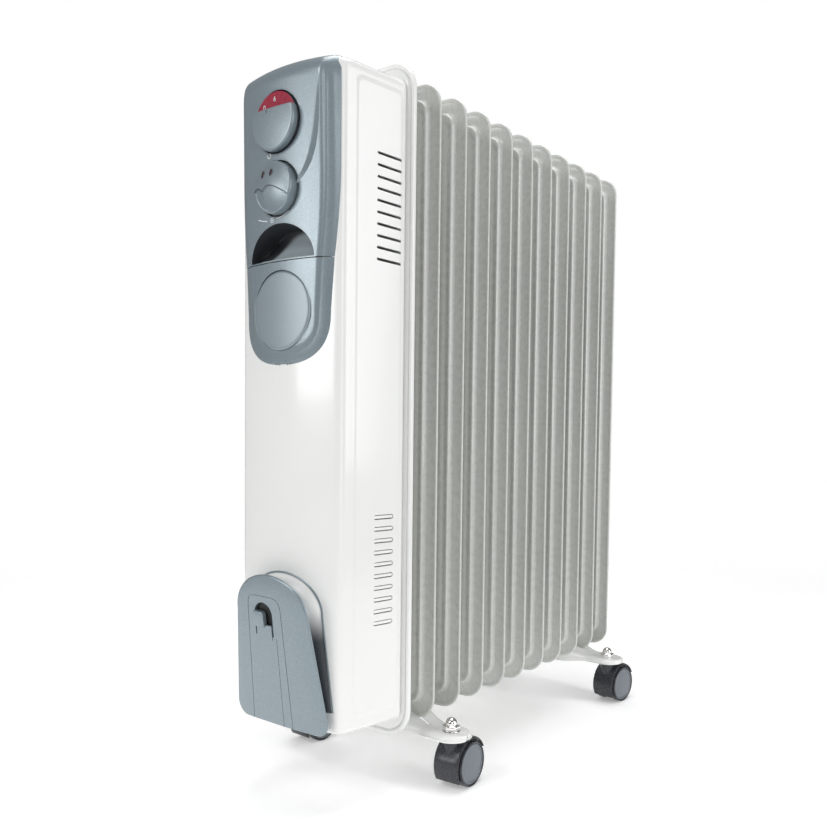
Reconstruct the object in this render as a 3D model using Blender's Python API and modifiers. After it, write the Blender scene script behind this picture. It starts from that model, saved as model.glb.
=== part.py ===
"""Oil filled radiator heater on castors: eleven hollow steel fins, a control housing and two steel feet.

+X is the heater's right side, -Y its control end and +Z up. The origin is on the floor, below the middle
of the bounding box. Every length is in metres.
"""

import math

import bmesh
import bpy
from mathutils import Matrix, Vector

# Clear gap between pieces that touch on the real heater
GAP = 0.0003

# Fins
FIN_COUNT = 11
FIN_PITCH = 0.0407
FIN_WIDTH = 0.148
FIN_HEIGHT = 0.580
FIN_CORNER = 0.021
FIN_FLANGE_THICKNESS = 0.0024
FIN_PANEL_INSET_X = 0.012
FIN_PANEL_INSET_Z = 0.014
FIN_PANEL_CORNER = 0.015
FIRST_PANEL_INSET_Z = 0.0210
FIN_PANEL_HALF_DEPTH = 0.006
FIN_WALL = 0.0015
FIN_BOTTOM = 0.057
HUB_RADIUS = 0.025
HUB_BORE = 0.0225
HUB_INSET = 0.048
HUB_SIDES = 14
FRONT_BOSS_LENGTH = 0.012
FILLER_BOSS_RADIUS = 0.016
FILLER_BORE = 0.008

# How far the heater reaches ahead of the first fin's mid-plane and behind it
REACH_AHEAD = 0.0995
REACH_BEHIND = FIN_PITCH * (FIN_COUNT - 1) + FIN_PANEL_HALF_DEPTH
FIRST_FIN_Y = (REACH_AHEAD - REACH_BEHIND) / 2
FIN_TOP = FIN_BOTTOM + FIN_HEIGHT
LOWER_HUB_Z = FIN_BOTTOM + HUB_INSET
UPPER_HUB_Z = FIN_TOP - HUB_INSET

# White end plate between the housing and the first fin
END_PLATE_WIDTH = 0.153
END_PLATE_HEIGHT = 0.588
END_PLATE_CORNER = 0.024
END_PLATE_SHEET = 0.0015
END_PLATE_FRONT = FIRST_FIN_Y - 0.0028
END_PLATE_RIM_BACK = FIRST_FIN_Y + 0.0022
END_PLATE_DISH_FRONT = FIRST_FIN_Y - 0.0105
END_PLATE_DISH_INSET_X = 0.0110
END_PLATE_DISH_INSET_Z = 0.0215
END_PLATE_DISH_CORNER = 0.016

# Housing: a tapered box with a bowed front and a crowned top
HOUSING_FRONT = FIRST_FIN_Y - 0.0720
HOUSING_BACK = END_PLATE_FRONT - GAP
HOUSING_BOW = 0.008
HOUSING_HALF_FRONT = 0.0600
HOUSING_HALF_BACK = 0.0710
HOUSING_BOTTOM = FIN_BOTTOM + 0.0135
HOUSING_TOP = FIN_BOTTOM + 0.5655
HOUSING_CROWN = 0.006
HOUSING_CORNER = 0.006
HOUSING_SHEET = 0.0018

# Vent slots in both sides of the housing
SLOT_COUNT = 10
SLOT_PITCH = 0.0097
SLOT_MIDDLE_Y = FIRST_FIN_Y - 0.0245
UPPER_SLOT_LENGTH = 0.027
UPPER_SLOT_HEIGHT = 0.0022
UPPER_SLOT_FIRST_Z = FIN_BOTTOM + 0.4100
LOUVRE_LENGTH = 0.021
LOUVRE_HEIGHT = 0.0022
LOUVRE_FIRST_Z = FIN_BOTTOM + 0.1045
LOUVRE_PITCH = 0.0102

# Control panel and lower cover: a pillow-shaped skin over the housing's front
PANEL_FRONT = FIRST_FIN_Y - 0.0730
PANEL_LEAN = 0.0074
PANEL_BOW = 0.0092
PANEL_HALF_WIDTH = 0.0605
PANEL_TOP = FIN_BOTTOM + 0.5700
PANEL_CROWN = 0.007
PANEL_EDGE = 0.008
PANEL_BACK = FIRST_FIN_Y - 0.0600
PANEL_OUTLINE_TOP_HALF = 0.0565
PANEL_OUTLINE_SEAM_HALF = 0.0520
PANEL_OUTLINE_LOW_HALF = 0.0490
PANEL_TAPER_Z = FIN_BOTTOM + 0.4700
SEAM_Z = FIN_BOTTOM + 0.4080
SEAM_GAP = 0.0006
LOWER_COVER_ROUND_Z = FIN_BOTTOM + 0.3660
LOWER_COVER_BOTTOM = FIN_BOTTOM + 0.3230
RECESS_FLOOR = FIRST_FIN_Y - 0.0820

# Thermostat knob over its red scale disc
THERMOSTAT_Z = FIN_BOTTOM + 0.5215
THERMOSTAT_RECESS = 0.0253
SCALE_DISC_RADIUS = 0.0249
SCALE_DISC_THICKNESS = 0.0085
THERMOSTAT_KNOB_RADIUS = 0.0246
THERMOSTAT_KNOB_FRONT = FIRST_FIN_Y - 0.0955
THERMOSTAT_CHORD = 0.0100

# Power selector knob
SELECTOR_Z = FIN_BOTTOM + 0.4675
SELECTOR_RECESS = 0.0225
SELECTOR_KNOB_RADIUS = 0.0213
SELECTOR_KNOB_FRONT = FIRST_FIN_Y - 0.0965

SPINDLE_RADIUS = 0.0030
SPINDLE_HOLE = 0.0034
SWITCH_FRONT = FIRST_FIN_Y - 0.0755
SWITCH_SIZE = (0.036, 0.024, 0.032)

# Badge disc on the lower cover
BADGE_Z = FIN_BOTTOM + 0.3672
BADGE_RADIUS = 0.0330
BADGE_RECESS = 0.0336
BADGE_FLOOR = FIRST_FIN_Y - 0.0812
BADGE_FRONT = FIRST_FIN_Y - 0.0849

# Grip pocket: an arch that fingers reach into, behind the panel
GRIP_HALF_WIDTH = 0.0375
GRIP_BOTTOM = SEAM_Z + 0.0012
GRIP_HEIGHT = 0.0300
GRIP_WALL = 0.0020
GRIP_BACK = FIRST_FIN_Y - 0.0480
GRIP_FRONT = FIRST_FIN_Y - 0.0735

# Cord winder: a leaning plate on a drum
WINDER_LEAN = math.radians(7.0)
WINDER_PLATE_THICKNESS = 0.0025
WINDER_FOOT_Z = FIN_BOTTOM + 0.0129
WINDER_FOOT_Y = FIRST_FIN_Y - 0.0806
WINDER_HEIGHT = 0.1340
WINDER_FOOT_HALF = 0.0545
WINDER_SHOULDER_HALF = 0.0430
WINDER_SHOULDER = 0.1000
WINDER_FOOT_CORNER = 0.012
WINDER_DRUM_INSET = 0.016
# The hook opening in the plate: an arch over a springy tongue with a raised pad
HOOK_LEFT = -0.0190
HOOK_RIGHT = 0.0030
HOOK_TOP = 0.1093
HOOK_ROOT = 0.0800
HOOK_SLIT = 0.0012
HOOK_PAD_WIDTH = 0.0127
HOOK_PAD_RISE = 0.0020

# Feet: one pressed channel under the second fin, one under the last fin but one
FOOT_FINS = {"front": 1, "rear": FIN_COUNT - 2}
FOOT_SHEET = 0.0016
FOOT_RIDGE_Z = FIN_BOTTOM + 0.0070
FOOT_TOP_Z = FIN_BOTTOM + 0.0020
FOOT_LOBE_Z = FIN_BOTTOM - 0.0040
FOOT_SKIRT_Z = FIN_BOTTOM - 0.0100
FOOT_LOBE_SKIRT_Z = FIN_BOTTOM - 0.0080
FOOT_HALF_WIDTH = 0.027
FOOT_BODY_HALF = 0.066
FOOT_LOBE_RADIUS = 0.0185
FOOT_SLOT_HALF = 0.0700
CASTOR_X = 0.0935

# U-bolts and their wing nuts
UBOLT_ROD = 0.0020
UBOLT_HALF = HUB_RADIUS + UBOLT_ROD + 0.0006
UBOLT_BOTTOM = FIN_BOTTOM - 0.0085
WING_NUT_TOP = FOOT_TOP_Z - FOOT_SHEET - GAP
WING_NUT_HEIGHT = 0.0055

# Castors: each trails its stem and is stored turned a little
CASTOR_TURN = {"front": math.radians(2.5), "rear": math.radians(-7.0)}
CASTOR_TRAIL = 0.0150
WHEEL_RADIUS = 0.0205
WHEEL_WIDTH = 0.0080
WHEEL_OUTER_X = 0.0150
HOOD_RADIUS = 0.0247
HOOD_WALL = 0.0020
HOOD_HALF_WIDTH = 0.0132
HOOD_WEB_HALF = 0.0062
AXLE_RADIUS = 0.0030
AXLE_CLEARANCE = 0.0003
STEM_RADIUS = 0.0040
STEM_BOTTOM = 0.0260
STEM_TOP = FOOT_LOBE_Z + 0.0085
NECK_RADIUS = 0.0067
NECK_TOP = FOOT_LOBE_Z - FOOT_SHEET - 0.0005
NUT_ACROSS_FLATS = 0.0130
NUT_HEX_HEIGHT = 0.0060
NUT_HEIGHT = 0.0140

PARTS = "oil_filled_radiator_heater"
CUTTERS = "cutters"


def clear_scene():
    for old in list(bpy.data.objects):
        bpy.data.objects.remove(old, do_unlink=True)
    for name in (PARTS, CUTTERS):
        bpy.context.scene.collection.children.link(bpy.data.collections.new(name))


def make_material(name, colour, roughness, metallic=0.0):
    material = bpy.data.materials.new(name)
    material.use_nodes = True
    shader = material.node_tree.nodes["Principled BSDF"]
    shader.inputs["Base Color"].default_value = (*colour, 1.0)
    shader.inputs["Roughness"].default_value = roughness
    shader.inputs["Metallic"].default_value = metallic
    material.diffuse_color = (*colour, 1.0)
    return material


def fin_y(index):
    """The mid-plane of a fin, counted from 0 at the control end."""
    return FIRST_FIN_Y + index * FIN_PITCH


# ---------------------------------------------------------------- shapes


def object_from(bm, name):
    """A helper object holding this mesh. keep() turns it into a part."""
    bmesh.ops.recalc_face_normals(bm, faces=bm.faces)
    mesh = bpy.data.meshes.new(name)
    bm.to_mesh(mesh)
    bm.free()
    obj = bpy.data.objects.new(name, mesh)
    bpy.data.collections[CUTTERS].objects.link(obj)
    obj.hide_render = True
    obj.display_type = "WIRE"
    return obj


def box(name, size, centre):
    bm = bmesh.new()
    bmesh.ops.create_cube(bm, size=1.0, matrix=Matrix.Translation(centre) @ Matrix.Diagonal((*size, 1.0)))
    return object_from(bm, name)


def box_between(name, low, high):
    size = [b - a for a, b in zip(low, high)]
    centre = [(a + b) / 2 for a, b in zip(low, high)]
    return box(name, size, centre)


def cylinder(name, radius, start, end, sides=24, end_radius=None, turn=0.0):
    """A round bar from start to end, or a cone when end_radius is given."""
    start, end = Vector(start), Vector(end)
    along = end - start
    place = Matrix.Translation((start + end) / 2) @ along.to_track_quat("Z", "Y").to_matrix().to_4x4()
    bm = bmesh.new()
    bmesh.ops.create_cone(
        bm,
        cap_ends=True,
        segments=sides,
        radius1=radius,
        radius2=radius if end_radius is None else end_radius,
        depth=along.length,
        matrix=place @ Matrix.Rotation(turn, 4, "Z"),
    )
    return object_from(bm, name)


def rounded_rectangle(width, height, corner, segments=4):
    """Corner points of a rounded rectangle about the origin, anticlockwise."""
    points = []
    for quarter, (sx, sz) in enumerate(((1, 1), (-1, 1), (-1, -1), (1, -1))):
        centre = (sx * (width / 2 - corner), sz * (height / 2 - corner))
        for step in range(segments + 1):
            angle = (quarter + step / segments) * math.pi / 2
            points.append((centre[0] + corner * math.cos(angle), centre[1] + corner * math.sin(angle)))
    return points


def mesh_of(obj):
    """The object's mesh with every modifier in it, and its doubled points made one."""
    bpy.context.view_layer.update()
    evaluated = obj.evaluated_get(bpy.context.evaluated_depsgraph_get())
    mesh = bpy.data.meshes.new_from_object(evaluated)
    bm = bmesh.new()
    bm.from_mesh(mesh)
    bmesh.ops.remove_doubles(bm, verts=bm.verts, dist=1e-6)
    bm.to_mesh(mesh)
    bm.free()
    return mesh


def flat_plate(name, outline, front, back, middle=(0.0, 0.0)):
    """A plate whose outline is drawn in X and Z about a middle point, from y = front to y = back."""
    curve = bpy.data.curves.new(name, "CURVE")
    curve.dimensions = "2D"
    curve.fill_mode = "BOTH"
    curve.extrude = (back - front) / 2
    spline = curve.splines.new("POLY")
    spline.points.add(len(outline) - 1)
    for point, (x, z) in zip(spline.points, outline):
        point.co = (x, z, 0.0, 1.0)
    spline.use_cyclic_u = True
    drawn = bpy.data.objects.new(name, curve)
    bpy.data.collections[CUTTERS].objects.link(drawn)
    drawn.matrix_world = Matrix.Translation((middle[0], (front + back) / 2, middle[1])) @ Matrix.Rotation(
        math.pi / 2, 4, "X"
    )
    mesh = mesh_of(drawn)
    mesh.transform(drawn.matrix_world)
    bpy.data.objects.remove(drawn)
    bm = bmesh.new()
    bm.from_mesh(mesh)
    bpy.data.meshes.remove(mesh)
    return object_from(bm, name)


def turned(name, profile, place, steps=24):
    """A turned shape. The profile lists (radius, height) down its outer side, and place sets its axis."""
    mesh = bpy.data.meshes.new(name)
    edges = [(i, i + 1) for i in range(len(profile) - 1)]
    mesh.from_pydata([(radius, 0.0, height) for radius, height in profile], edges, [])
    obj = bpy.data.objects.new(name, mesh)
    bpy.data.collections[CUTTERS].objects.link(obj)
    screw = obj.modifiers.new("turn", "SCREW")
    screw.axis = "Z"
    screw.steps = steps
    screw.render_steps = steps
    screw.use_merge_vertices = True
    screw.merge_threshold = 1e-6
    finished = mesh_of(obj)
    finished.transform(place)
    bpy.data.objects.remove(obj)
    bm = bmesh.new()
    bm.from_mesh(finished)
    bpy.data.meshes.remove(finished)
    return object_from(bm, name)


def rod(name, points, radius, resolution=2):
    """A round rod along a path of points, with flat ends."""
    curve = bpy.data.curves.new(name, "CURVE")
    curve.dimensions = "3D"
    curve.bevel_depth = radius
    curve.bevel_resolution = resolution
    curve.use_fill_caps = True
    spline = curve.splines.new("POLY")
    spline.points.add(len(points) - 1)
    for point, place in zip(spline.points, points):
        point.co = (*place, 1.0)
    drawn = bpy.data.objects.new(name, curve)
    bpy.data.collections[CUTTERS].objects.link(drawn)
    mesh = mesh_of(drawn)
    bpy.data.objects.remove(drawn)
    bm = bmesh.new()
    bm.from_mesh(mesh)
    bpy.data.meshes.remove(mesh)
    return object_from(bm, name)


def combine(obj, operation, others):
    """Boolean the other objects into this one, in order."""
    for other in others:
        boolean = obj.modifiers.new(f"{operation.lower()} {other.name}", "BOOLEAN")
        boolean.operation = operation
        boolean.solver = "EXACT"
        boolean.object = other
    return obj


def cut(obj, *cutters):
    return combine(obj, "DIFFERENCE", cutters)


def join(obj, *others):
    return combine(obj, "UNION", others)


def keep(obj, name, material, parent=None):
    """Make a finished part of this helper: its own mesh, its material, and a place among the parts."""
    mesh = mesh_of(obj)
    mesh.name = name
    mesh.materials.clear()
    mesh.materials.append(material)
    part = bpy.data.objects.new(name, mesh)
    bpy.data.collections[PARTS].objects.link(part)
    mesh.shade_smooth()
    mesh.set_sharp_from_angle(angle=math.radians(30))
    if parent:
        mesh.transform(parent.matrix_world.inverted())
        part.parent = parent
    return part


def axis_empty(name, position, turn=0.0):
    """An empty on a joint's axis, which the moving pieces hang from."""
    empty = bpy.data.objects.new(name, None)
    bpy.data.collections[PARTS].objects.link(empty)
    empty.empty_display_size = 0.02
    empty.matrix_world = Matrix.Translation(position) @ Matrix.Rotation(turn, 4, "Z")
    return empty


def bowed_block(name, half_front, half_back, front, back, bow, bottom, top, crown, edge, columns=8, lean=0.0):
    """A tapered block whose front bulges by bow and leans forward, and whose top rises by crown."""
    bm = bmesh.new()
    bmesh.ops.create_cube(bm, size=2.0)
    across = [e for e in bm.edges if abs(e.verts[0].co.x - e.verts[1].co.x) > 1]
    bmesh.ops.subdivide_edges(bm, edges=across, cuts=columns - 1, use_grid_fill=True)
    for vert in bm.verts:
        u, v, w = vert.co
        rise = 1 - u * u
        half = half_front if v < 0 else half_back
        vert.co = (
            u * half,
            front - bow * rise - (lean if w > 0 else 0.0) if v < 0 else back,
            top + crown * rise if w > 0 else bottom,
        )
    obj = object_from(bm, name)
    bevel = obj.modifiers.new("edges", "BEVEL")
    bevel.width = edge
    bevel.segments = 3
    bevel.limit_method = "ANGLE"
    bevel.angle_limit = math.radians(50)
    bevel.use_clamp_overlap = False
    return obj


def housing_block(name, grow, back):
    """The housing's outer form, grown on every side by this much, from its bowed front to y = back."""
    flare = (HOUSING_HALF_BACK - HOUSING_HALF_FRONT) / (HOUSING_BACK - HOUSING_FRONT)
    return bowed_block(
        name,
        half_front=HOUSING_HALF_FRONT + grow,
        half_back=HOUSING_HALF_FRONT + flare * (back - HOUSING_FRONT) + grow,
        front=HOUSING_FRONT - grow,
        back=back,
        bow=HOUSING_BOW,
        bottom=HOUSING_BOTTOM - grow,
        top=HOUSING_TOP + grow,
        crown=HOUSING_CROWN,
        edge=HOUSING_CORNER + grow,
    )


# ---------------------------------------------------------------- fins


def fin_body(index):
    """One hollow fin: two pressed sheets seamed at the flange, with hubs that meet the next fins."""
    y = fin_y(index)
    middle = (0.0, FIN_BOTTOM + FIN_HEIGHT / 2)
    is_first, is_last = index == 0, index == FIN_COUNT - 1
    hub_reach = FIN_PITCH / 2 - GAP / 2
    front_reach = FRONT_BOSS_LENGTH if is_first else hub_reach
    back_reach = 0.0 if is_last else hub_reach

    flange = rounded_rectangle(FIN_WIDTH, FIN_HEIGHT, FIN_CORNER, segments=3)
    fin = flat_plate("flange", flange, y - FIN_FLANGE_THICKNESS / 2, y + FIN_FLANGE_THICKNESS / 2, middle)
    # The first fin's panel is shorter, so that it fits the end plate's dish
    inset_z = FIRST_PANEL_INSET_Z if is_first else FIN_PANEL_INSET_Z
    panel_size = (FIN_WIDTH - 2 * FIN_PANEL_INSET_X, FIN_HEIGHT - 2 * inset_z)
    panel = rounded_rectangle(*panel_size, FIN_PANEL_CORNER, segments=3)
    join(fin, flat_plate("panel", panel, y - FIN_PANEL_HALF_DEPTH, y + FIN_PANEL_HALF_DEPTH, middle))
    cavity_size = [side - 2 * FIN_WALL for side in panel_size]
    cavity = rounded_rectangle(*cavity_size, FIN_PANEL_CORNER - FIN_WALL, segments=3)
    inside = FIN_PANEL_HALF_DEPTH - FIN_WALL

    cutters = [flat_plate("cavity", cavity, y - inside, y + inside, middle)]
    for z in (LOWER_HUB_Z, UPPER_HUB_Z):
        is_filler = is_first and z == UPPER_HUB_Z
        back_hub = cylinder("hub", HUB_RADIUS, (0, y, z), (0, y + back_reach, z), HUB_SIDES) if back_reach else None
        front_radius = FILLER_BOSS_RADIUS if is_filler else HUB_RADIUS
        front_hub = cylinder("hub", front_radius, (0, y, z), (0, y - front_reach, z), HUB_SIDES)
        join(fin, *[hub for hub in (back_hub, front_hub) if hub])
        front_bore = FILLER_BORE if is_filler else HUB_BORE
        cutters.append(cylinder("bore", front_bore, (0, y, z), (0, y - front_reach - 0.001, z), HUB_SIDES))
        if back_reach:
            cutters.append(cylinder("bore", HUB_BORE, (0, y, z), (0, y + back_reach + 0.001, z), HUB_SIDES))
    return cut(fin, *cutters)


def make_fins(white):
    """Fins between the first and the last are alike, so they share one mesh."""
    keep(fin_body(0), "fin_01", white)
    second = keep(fin_body(1), "fin_02", white)
    for index in range(2, FIN_COUNT - 1):
        fin = bpy.data.objects.new(f"fin_{index + 1:02d}", second.data)
        fin.location.y = (index - 1) * FIN_PITCH
        bpy.data.collections[PARTS].objects.link(fin)
    keep(fin_body(FIN_COUNT - 1), f"fin_{FIN_COUNT:02d}", white)


def make_element(steel, brass):
    """The U-shaped heater in the lower hubs, its flange on the first fin, and the oil filler plug."""
    boss_face = FIRST_FIN_Y - FRONT_BOSS_LENGTH - GAP
    tube, spread, reach = 0.0042, 0.0100, fin_y(FIN_COUNT - 3)
    bend = [
        (spread * math.cos(a), reach + spread * math.sin(a), LOWER_HUB_Z)
        for a in (math.pi * i / 8 for i in range(9))
    ]
    terminal_y = boss_face - 0.020
    path = [(spread, terminal_y, LOWER_HUB_Z), *bend, (-spread, terminal_y, LOWER_HUB_Z)]
    keep(rod("element", path, tube), "heating_element", steel)

    flange = cylinder(
        "flange", HUB_RADIUS + 0.001, (0, boss_face, LOWER_HUB_Z), (0, boss_face - 0.004, LOWER_HUB_Z), 24
    )
    holes = [
        cylinder("hole", tube + GAP, (x, boss_face + 0.001, LOWER_HUB_Z), (x, boss_face - 0.006, LOWER_HUB_Z), 16)
        for x in (-spread, spread)
    ]
    keep(cut(flange, *holes), "element_flange", steel)

    head = cylinder("head", 0.0085, (0, boss_face - 0.006, UPPER_HUB_Z), (0, boss_face, UPPER_HUB_Z), 6)
    shank = cylinder(
        "shank",
        FILLER_BORE - GAP,
        (0, boss_face - 0.001, UPPER_HUB_Z),
        (0, boss_face + 0.008, UPPER_HUB_Z),
        16,
    )
    keep(join(head, shank), "oil_filler_plug", brass)


# ---------------------------------------------------------------- housing


def make_end_plate(white):
    """A dished plate with a turned rim that wraps the first fin's edge."""
    middle = (0.0, FIN_BOTTOM + FIN_HEIGHT / 2)
    sheet = END_PLATE_SHEET

    def rim(inset):
        size = (END_PLATE_WIDTH - 2 * inset, END_PLATE_HEIGHT - 2 * inset)
        return rounded_rectangle(*size, END_PLATE_CORNER - inset)

    def dish(inset):
        width = END_PLATE_WIDTH - 2 * (END_PLATE_DISH_INSET_X + inset)
        height = END_PLATE_HEIGHT - 2 * (END_PLATE_DISH_INSET_Z + inset)
        return rounded_rectangle(width, height, END_PLATE_DISH_CORNER - inset)

    plate = flat_plate("rim", rim(0.0), END_PLATE_FRONT, END_PLATE_RIM_BACK, middle)
    join(plate, flat_plate("dish", dish(0.0), END_PLATE_DISH_FRONT, END_PLATE_FRONT + 0.001, middle))
    back = END_PLATE_RIM_BACK + 0.001
    cutters = [
        flat_plate("rim inside", rim(sheet), END_PLATE_FRONT + sheet, back, middle),
        flat_plate("dish inside", dish(sheet), END_PLATE_DISH_FRONT + sheet, back, middle),
    ]
    for z, radius in ((LOWER_HUB_Z, HUB_RADIUS), (UPPER_HUB_Z, FILLER_BOSS_RADIUS)):
        start, end = (0, END_PLATE_DISH_FRONT - 0.002, z), (0, END_PLATE_DISH_FRONT + 0.004, z)
        cutters.append(cylinder("hub hole", radius + 0.001, start, end, 24))
    keep(cut(plate, *cutters), "housing_back_plate", white)


def slot_cutters():
    """Upper slots and lower louvre openings. Each bar runs right through both sides of the housing."""
    bars = []
    rows = (
        (UPPER_SLOT_FIRST_Z, SLOT_PITCH, UPPER_SLOT_LENGTH, UPPER_SLOT_HEIGHT),
        (LOUVRE_FIRST_Z, LOUVRE_PITCH, LOUVRE_LENGTH, LOUVRE_HEIGHT),
    )
    bm = bmesh.new()
    for first, pitch, length, height in rows:
        for index in range(SLOT_COUNT):
            place = Matrix.Translation((0.0, SLOT_MIDDLE_Y, first + index * pitch))
            size = Matrix.Diagonal((0.2, length, height, 1.0))
            bmesh.ops.create_cube(bm, size=1.0, matrix=place @ size)
    bars.append(object_from(bm, "slots"))
    return bars


def make_housing(white, black):
    """The sheet-steel housing, open at the back, with its front openings and the cord gland below."""
    shell = housing_block("housing", 0.0, HOUSING_BACK + 0.02)
    cutters = [
        box_between("open back", (-0.1, HOUSING_BACK, 0.0), (0.1, HOUSING_BACK + 0.1, 0.8)),
        housing_block("inside", -HOUSING_SHEET, HOUSING_BACK + 0.05),
        *slot_cutters(),
    ]
    front, back = HOUSING_FRONT - 0.02, HOUSING_FRONT + 0.01
    for z in (THERMOSTAT_Z, SELECTOR_Z):
        cutters.append(cylinder("spindle opening", 0.012, (0, front, z), (0, back, z), 20))
    cutters.append(flat_plate("grip opening", arch(GRIP_WALL + 0.0008), front, back))
    gland = (-0.030, FIRST_FIN_Y - 0.035)
    cutters.append(
        cylinder("gland hole", 0.0072, (*gland, HOUSING_BOTTOM - 0.01), (*gland, HOUSING_BOTTOM + 0.01), 16)
    )
    keep(cut(shell, *cutters), "housing_cover", white)

    sheet_top = HOUSING_BOTTOM + HOUSING_SHEET
    profile = [
        (0.0040, sheet_top + 0.006),
        (0.0068, sheet_top + 0.006),
        (0.0068, HOUSING_BOTTOM - GAP),
        (0.0100, HOUSING_BOTTOM - GAP),
        (0.0085, HOUSING_BOTTOM - 0.009),
        (0.0040, HOUSING_BOTTOM - 0.009),
        (0.0040, sheet_top + 0.006),
    ]
    keep(turned("gland", profile, Matrix.Translation((*gland, 0.0)), 16), "cord_gland", black)


# ---------------------------------------------------------------- control panel


def arch(grow, segments=10):
    """The grip opening's outline: a flat bottom under half an ellipse."""
    half, height = GRIP_HALF_WIDTH + grow, GRIP_HEIGHT + grow
    return [
        (half * math.cos(a), GRIP_BOTTOM - grow + (height + grow) * math.sin(a))
        for a in (math.pi * i / segments for i in range(segments + 1))
    ]


def panel_skin(name, outline):
    """The part of the pillow-shaped skin inside an outline, hollowed to fit over the housing."""
    skin = bowed_block(
        name,
        half_front=PANEL_HALF_WIDTH,
        half_back=PANEL_HALF_WIDTH,
        front=PANEL_FRONT,
        back=PANEL_BACK + 0.03,
        bow=PANEL_BOW,
        bottom=LOWER_COVER_BOTTOM - 0.05,
        top=PANEL_TOP,
        crown=PANEL_CROWN,
        edge=PANEL_EDGE,
        lean=PANEL_LEAN,
    )
    combine(skin, "INTERSECT", [flat_plate("outline", outline, PANEL_FRONT - 0.05, PANEL_BACK)])
    return cut(skin, housing_block("housing form", GAP, HOUSING_BACK))


def side_half_width(z):
    """Half the control panel's width at a height: full above the taper, narrower towards the seam."""
    if z >= PANEL_TAPER_Z:
        return PANEL_OUTLINE_TOP_HALF
    drop = (PANEL_TAPER_Z - z) / (PANEL_TAPER_Z - SEAM_Z)
    return PANEL_OUTLINE_TOP_HALF - (PANEL_OUTLINE_TOP_HALF - PANEL_OUTLINE_SEAM_HALF) * drop**2


def upper_outline():
    bottom = SEAM_Z + SEAM_GAP / 2
    heights = [bottom + (PANEL_TAPER_Z - bottom) * i / 4 for i in range(5)] + [PANEL_TOP + 0.02]
    right = [(side_half_width(z), z) for z in heights]
    return right + [(-x, z) for x, z in reversed(right)]


def lower_outline():
    top = SEAM_Z - SEAM_GAP / 2
    right = [
        (
            PANEL_OUTLINE_LOW_HALF * max(math.cos(a), 0.0) ** 0.9,
            LOWER_COVER_ROUND_Z - (LOWER_COVER_ROUND_Z - LOWER_COVER_BOTTOM) * math.sin(a) ** 0.9,
        )
        for a in (math.pi / 2 * i / 8 for i in range(8, -1, -1))
    ]
    right.append((PANEL_OUTLINE_SEAM_HALF, top))
    return right + [(-x, z) for x, z in reversed(right[1:])]


def make_panel(grey, slate, red):
    front = PANEL_FRONT - 0.03
    panel = panel_skin("control panel", upper_outline())
    cutters = [flat_plate("grip opening", arch(0.0), front, PANEL_BACK)]
    for z, recess in ((THERMOSTAT_Z, THERMOSTAT_RECESS), (SELECTOR_Z, SELECTOR_RECESS)):
        cutters.append(cylinder("recess", recess, (0, front, z), (0, RECESS_FLOOR, z), 32))
        cutters.append(cylinder("spindle hole", SPINDLE_HOLE + 0.0004, (0, front, z), (0, PANEL_BACK, z), 12))
    lamp_x, lamp_z, lamp_radius = -0.010, SELECTOR_Z + 0.009, 0.0024
    lamp_hole = (lamp_x, front, lamp_z), (lamp_x, PANEL_BACK, lamp_z)
    cutters.append(cylinder("lamp hole", lamp_radius + GAP, *lamp_hole, 12))
    keep(cut(panel, *cutters), "control_panel", grey)

    lamp_back = (lamp_x, HOUSING_FRONT - HOUSING_BOW - 2 * GAP, lamp_z)
    lamp = cylinder("lamp", lamp_radius, lamp_back, (lamp_x, RECESS_FLOOR - 0.0001, lamp_z), 12)
    keep(lamp, "pilot_lamp", red)

    cover = panel_skin("lower cover", lower_outline())
    recess = cylinder("badge recess", BADGE_RECESS, (0, front, BADGE_Z), (0, BADGE_FLOOR, BADGE_Z), 40)
    keep(cut(cover, recess), "lower_cover", grey)
    edge = 0.0008
    badge_profile = [
        (0.0, BADGE_FLOOR - GAP - BADGE_FRONT),
        (BADGE_RADIUS - edge, BADGE_FLOOR - GAP - BADGE_FRONT),
        (BADGE_RADIUS, BADGE_FLOOR - GAP - BADGE_FRONT - edge),
        (BADGE_RADIUS, 0.0),
        (0.0, 0.0),
    ]
    badge_place = Matrix.Translation((0, BADGE_FLOOR - GAP, BADGE_Z)) @ Matrix.Rotation(math.pi / 2, 4, "X")
    keep(turned("badge", badge_profile, badge_place, 40), "badge_disc", grey)

    make_grip_pocket(slate)


def make_grip_pocket(slate):
    """A cup behind the arch, with a scoop that slopes up from the front edge."""
    cup = flat_plate("cup", arch(GRIP_WALL), GRIP_FRONT, GRIP_BACK)
    cut(cup, flat_plate("hollow", arch(0.0), GRIP_FRONT - 0.01, GRIP_BACK - GRIP_WALL))
    scoop_front, scoop_back = GRIP_FRONT + 0.001, GRIP_BACK - 0.001
    low = GRIP_BOTTOM - 0.0005
    bm = bmesh.new()
    reach = GRIP_HALF_WIDTH - 0.001
    corners = [(scoop_front, low), (scoop_back, low), (scoop_back, low + 0.016)]
    left = [bm.verts.new((-reach, y, z)) for y, z in corners]
    face = bm.faces.new(left)
    swept = bmesh.ops.extrude_face_region(bm, geom=[face])
    moved = [v for v in swept["geom"] if isinstance(v, bmesh.types.BMVert)]
    bmesh.ops.translate(bm, verts=moved, vec=(2 * reach, 0, 0))
    scoop = object_from(bm, "scoop")
    combine(scoop, "INTERSECT", [flat_plate("scoop limit", arch(GRIP_WALL / 2), GRIP_FRONT, GRIP_BACK)])
    keep(join(cup, scoop), "grip_pocket", slate)


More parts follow.
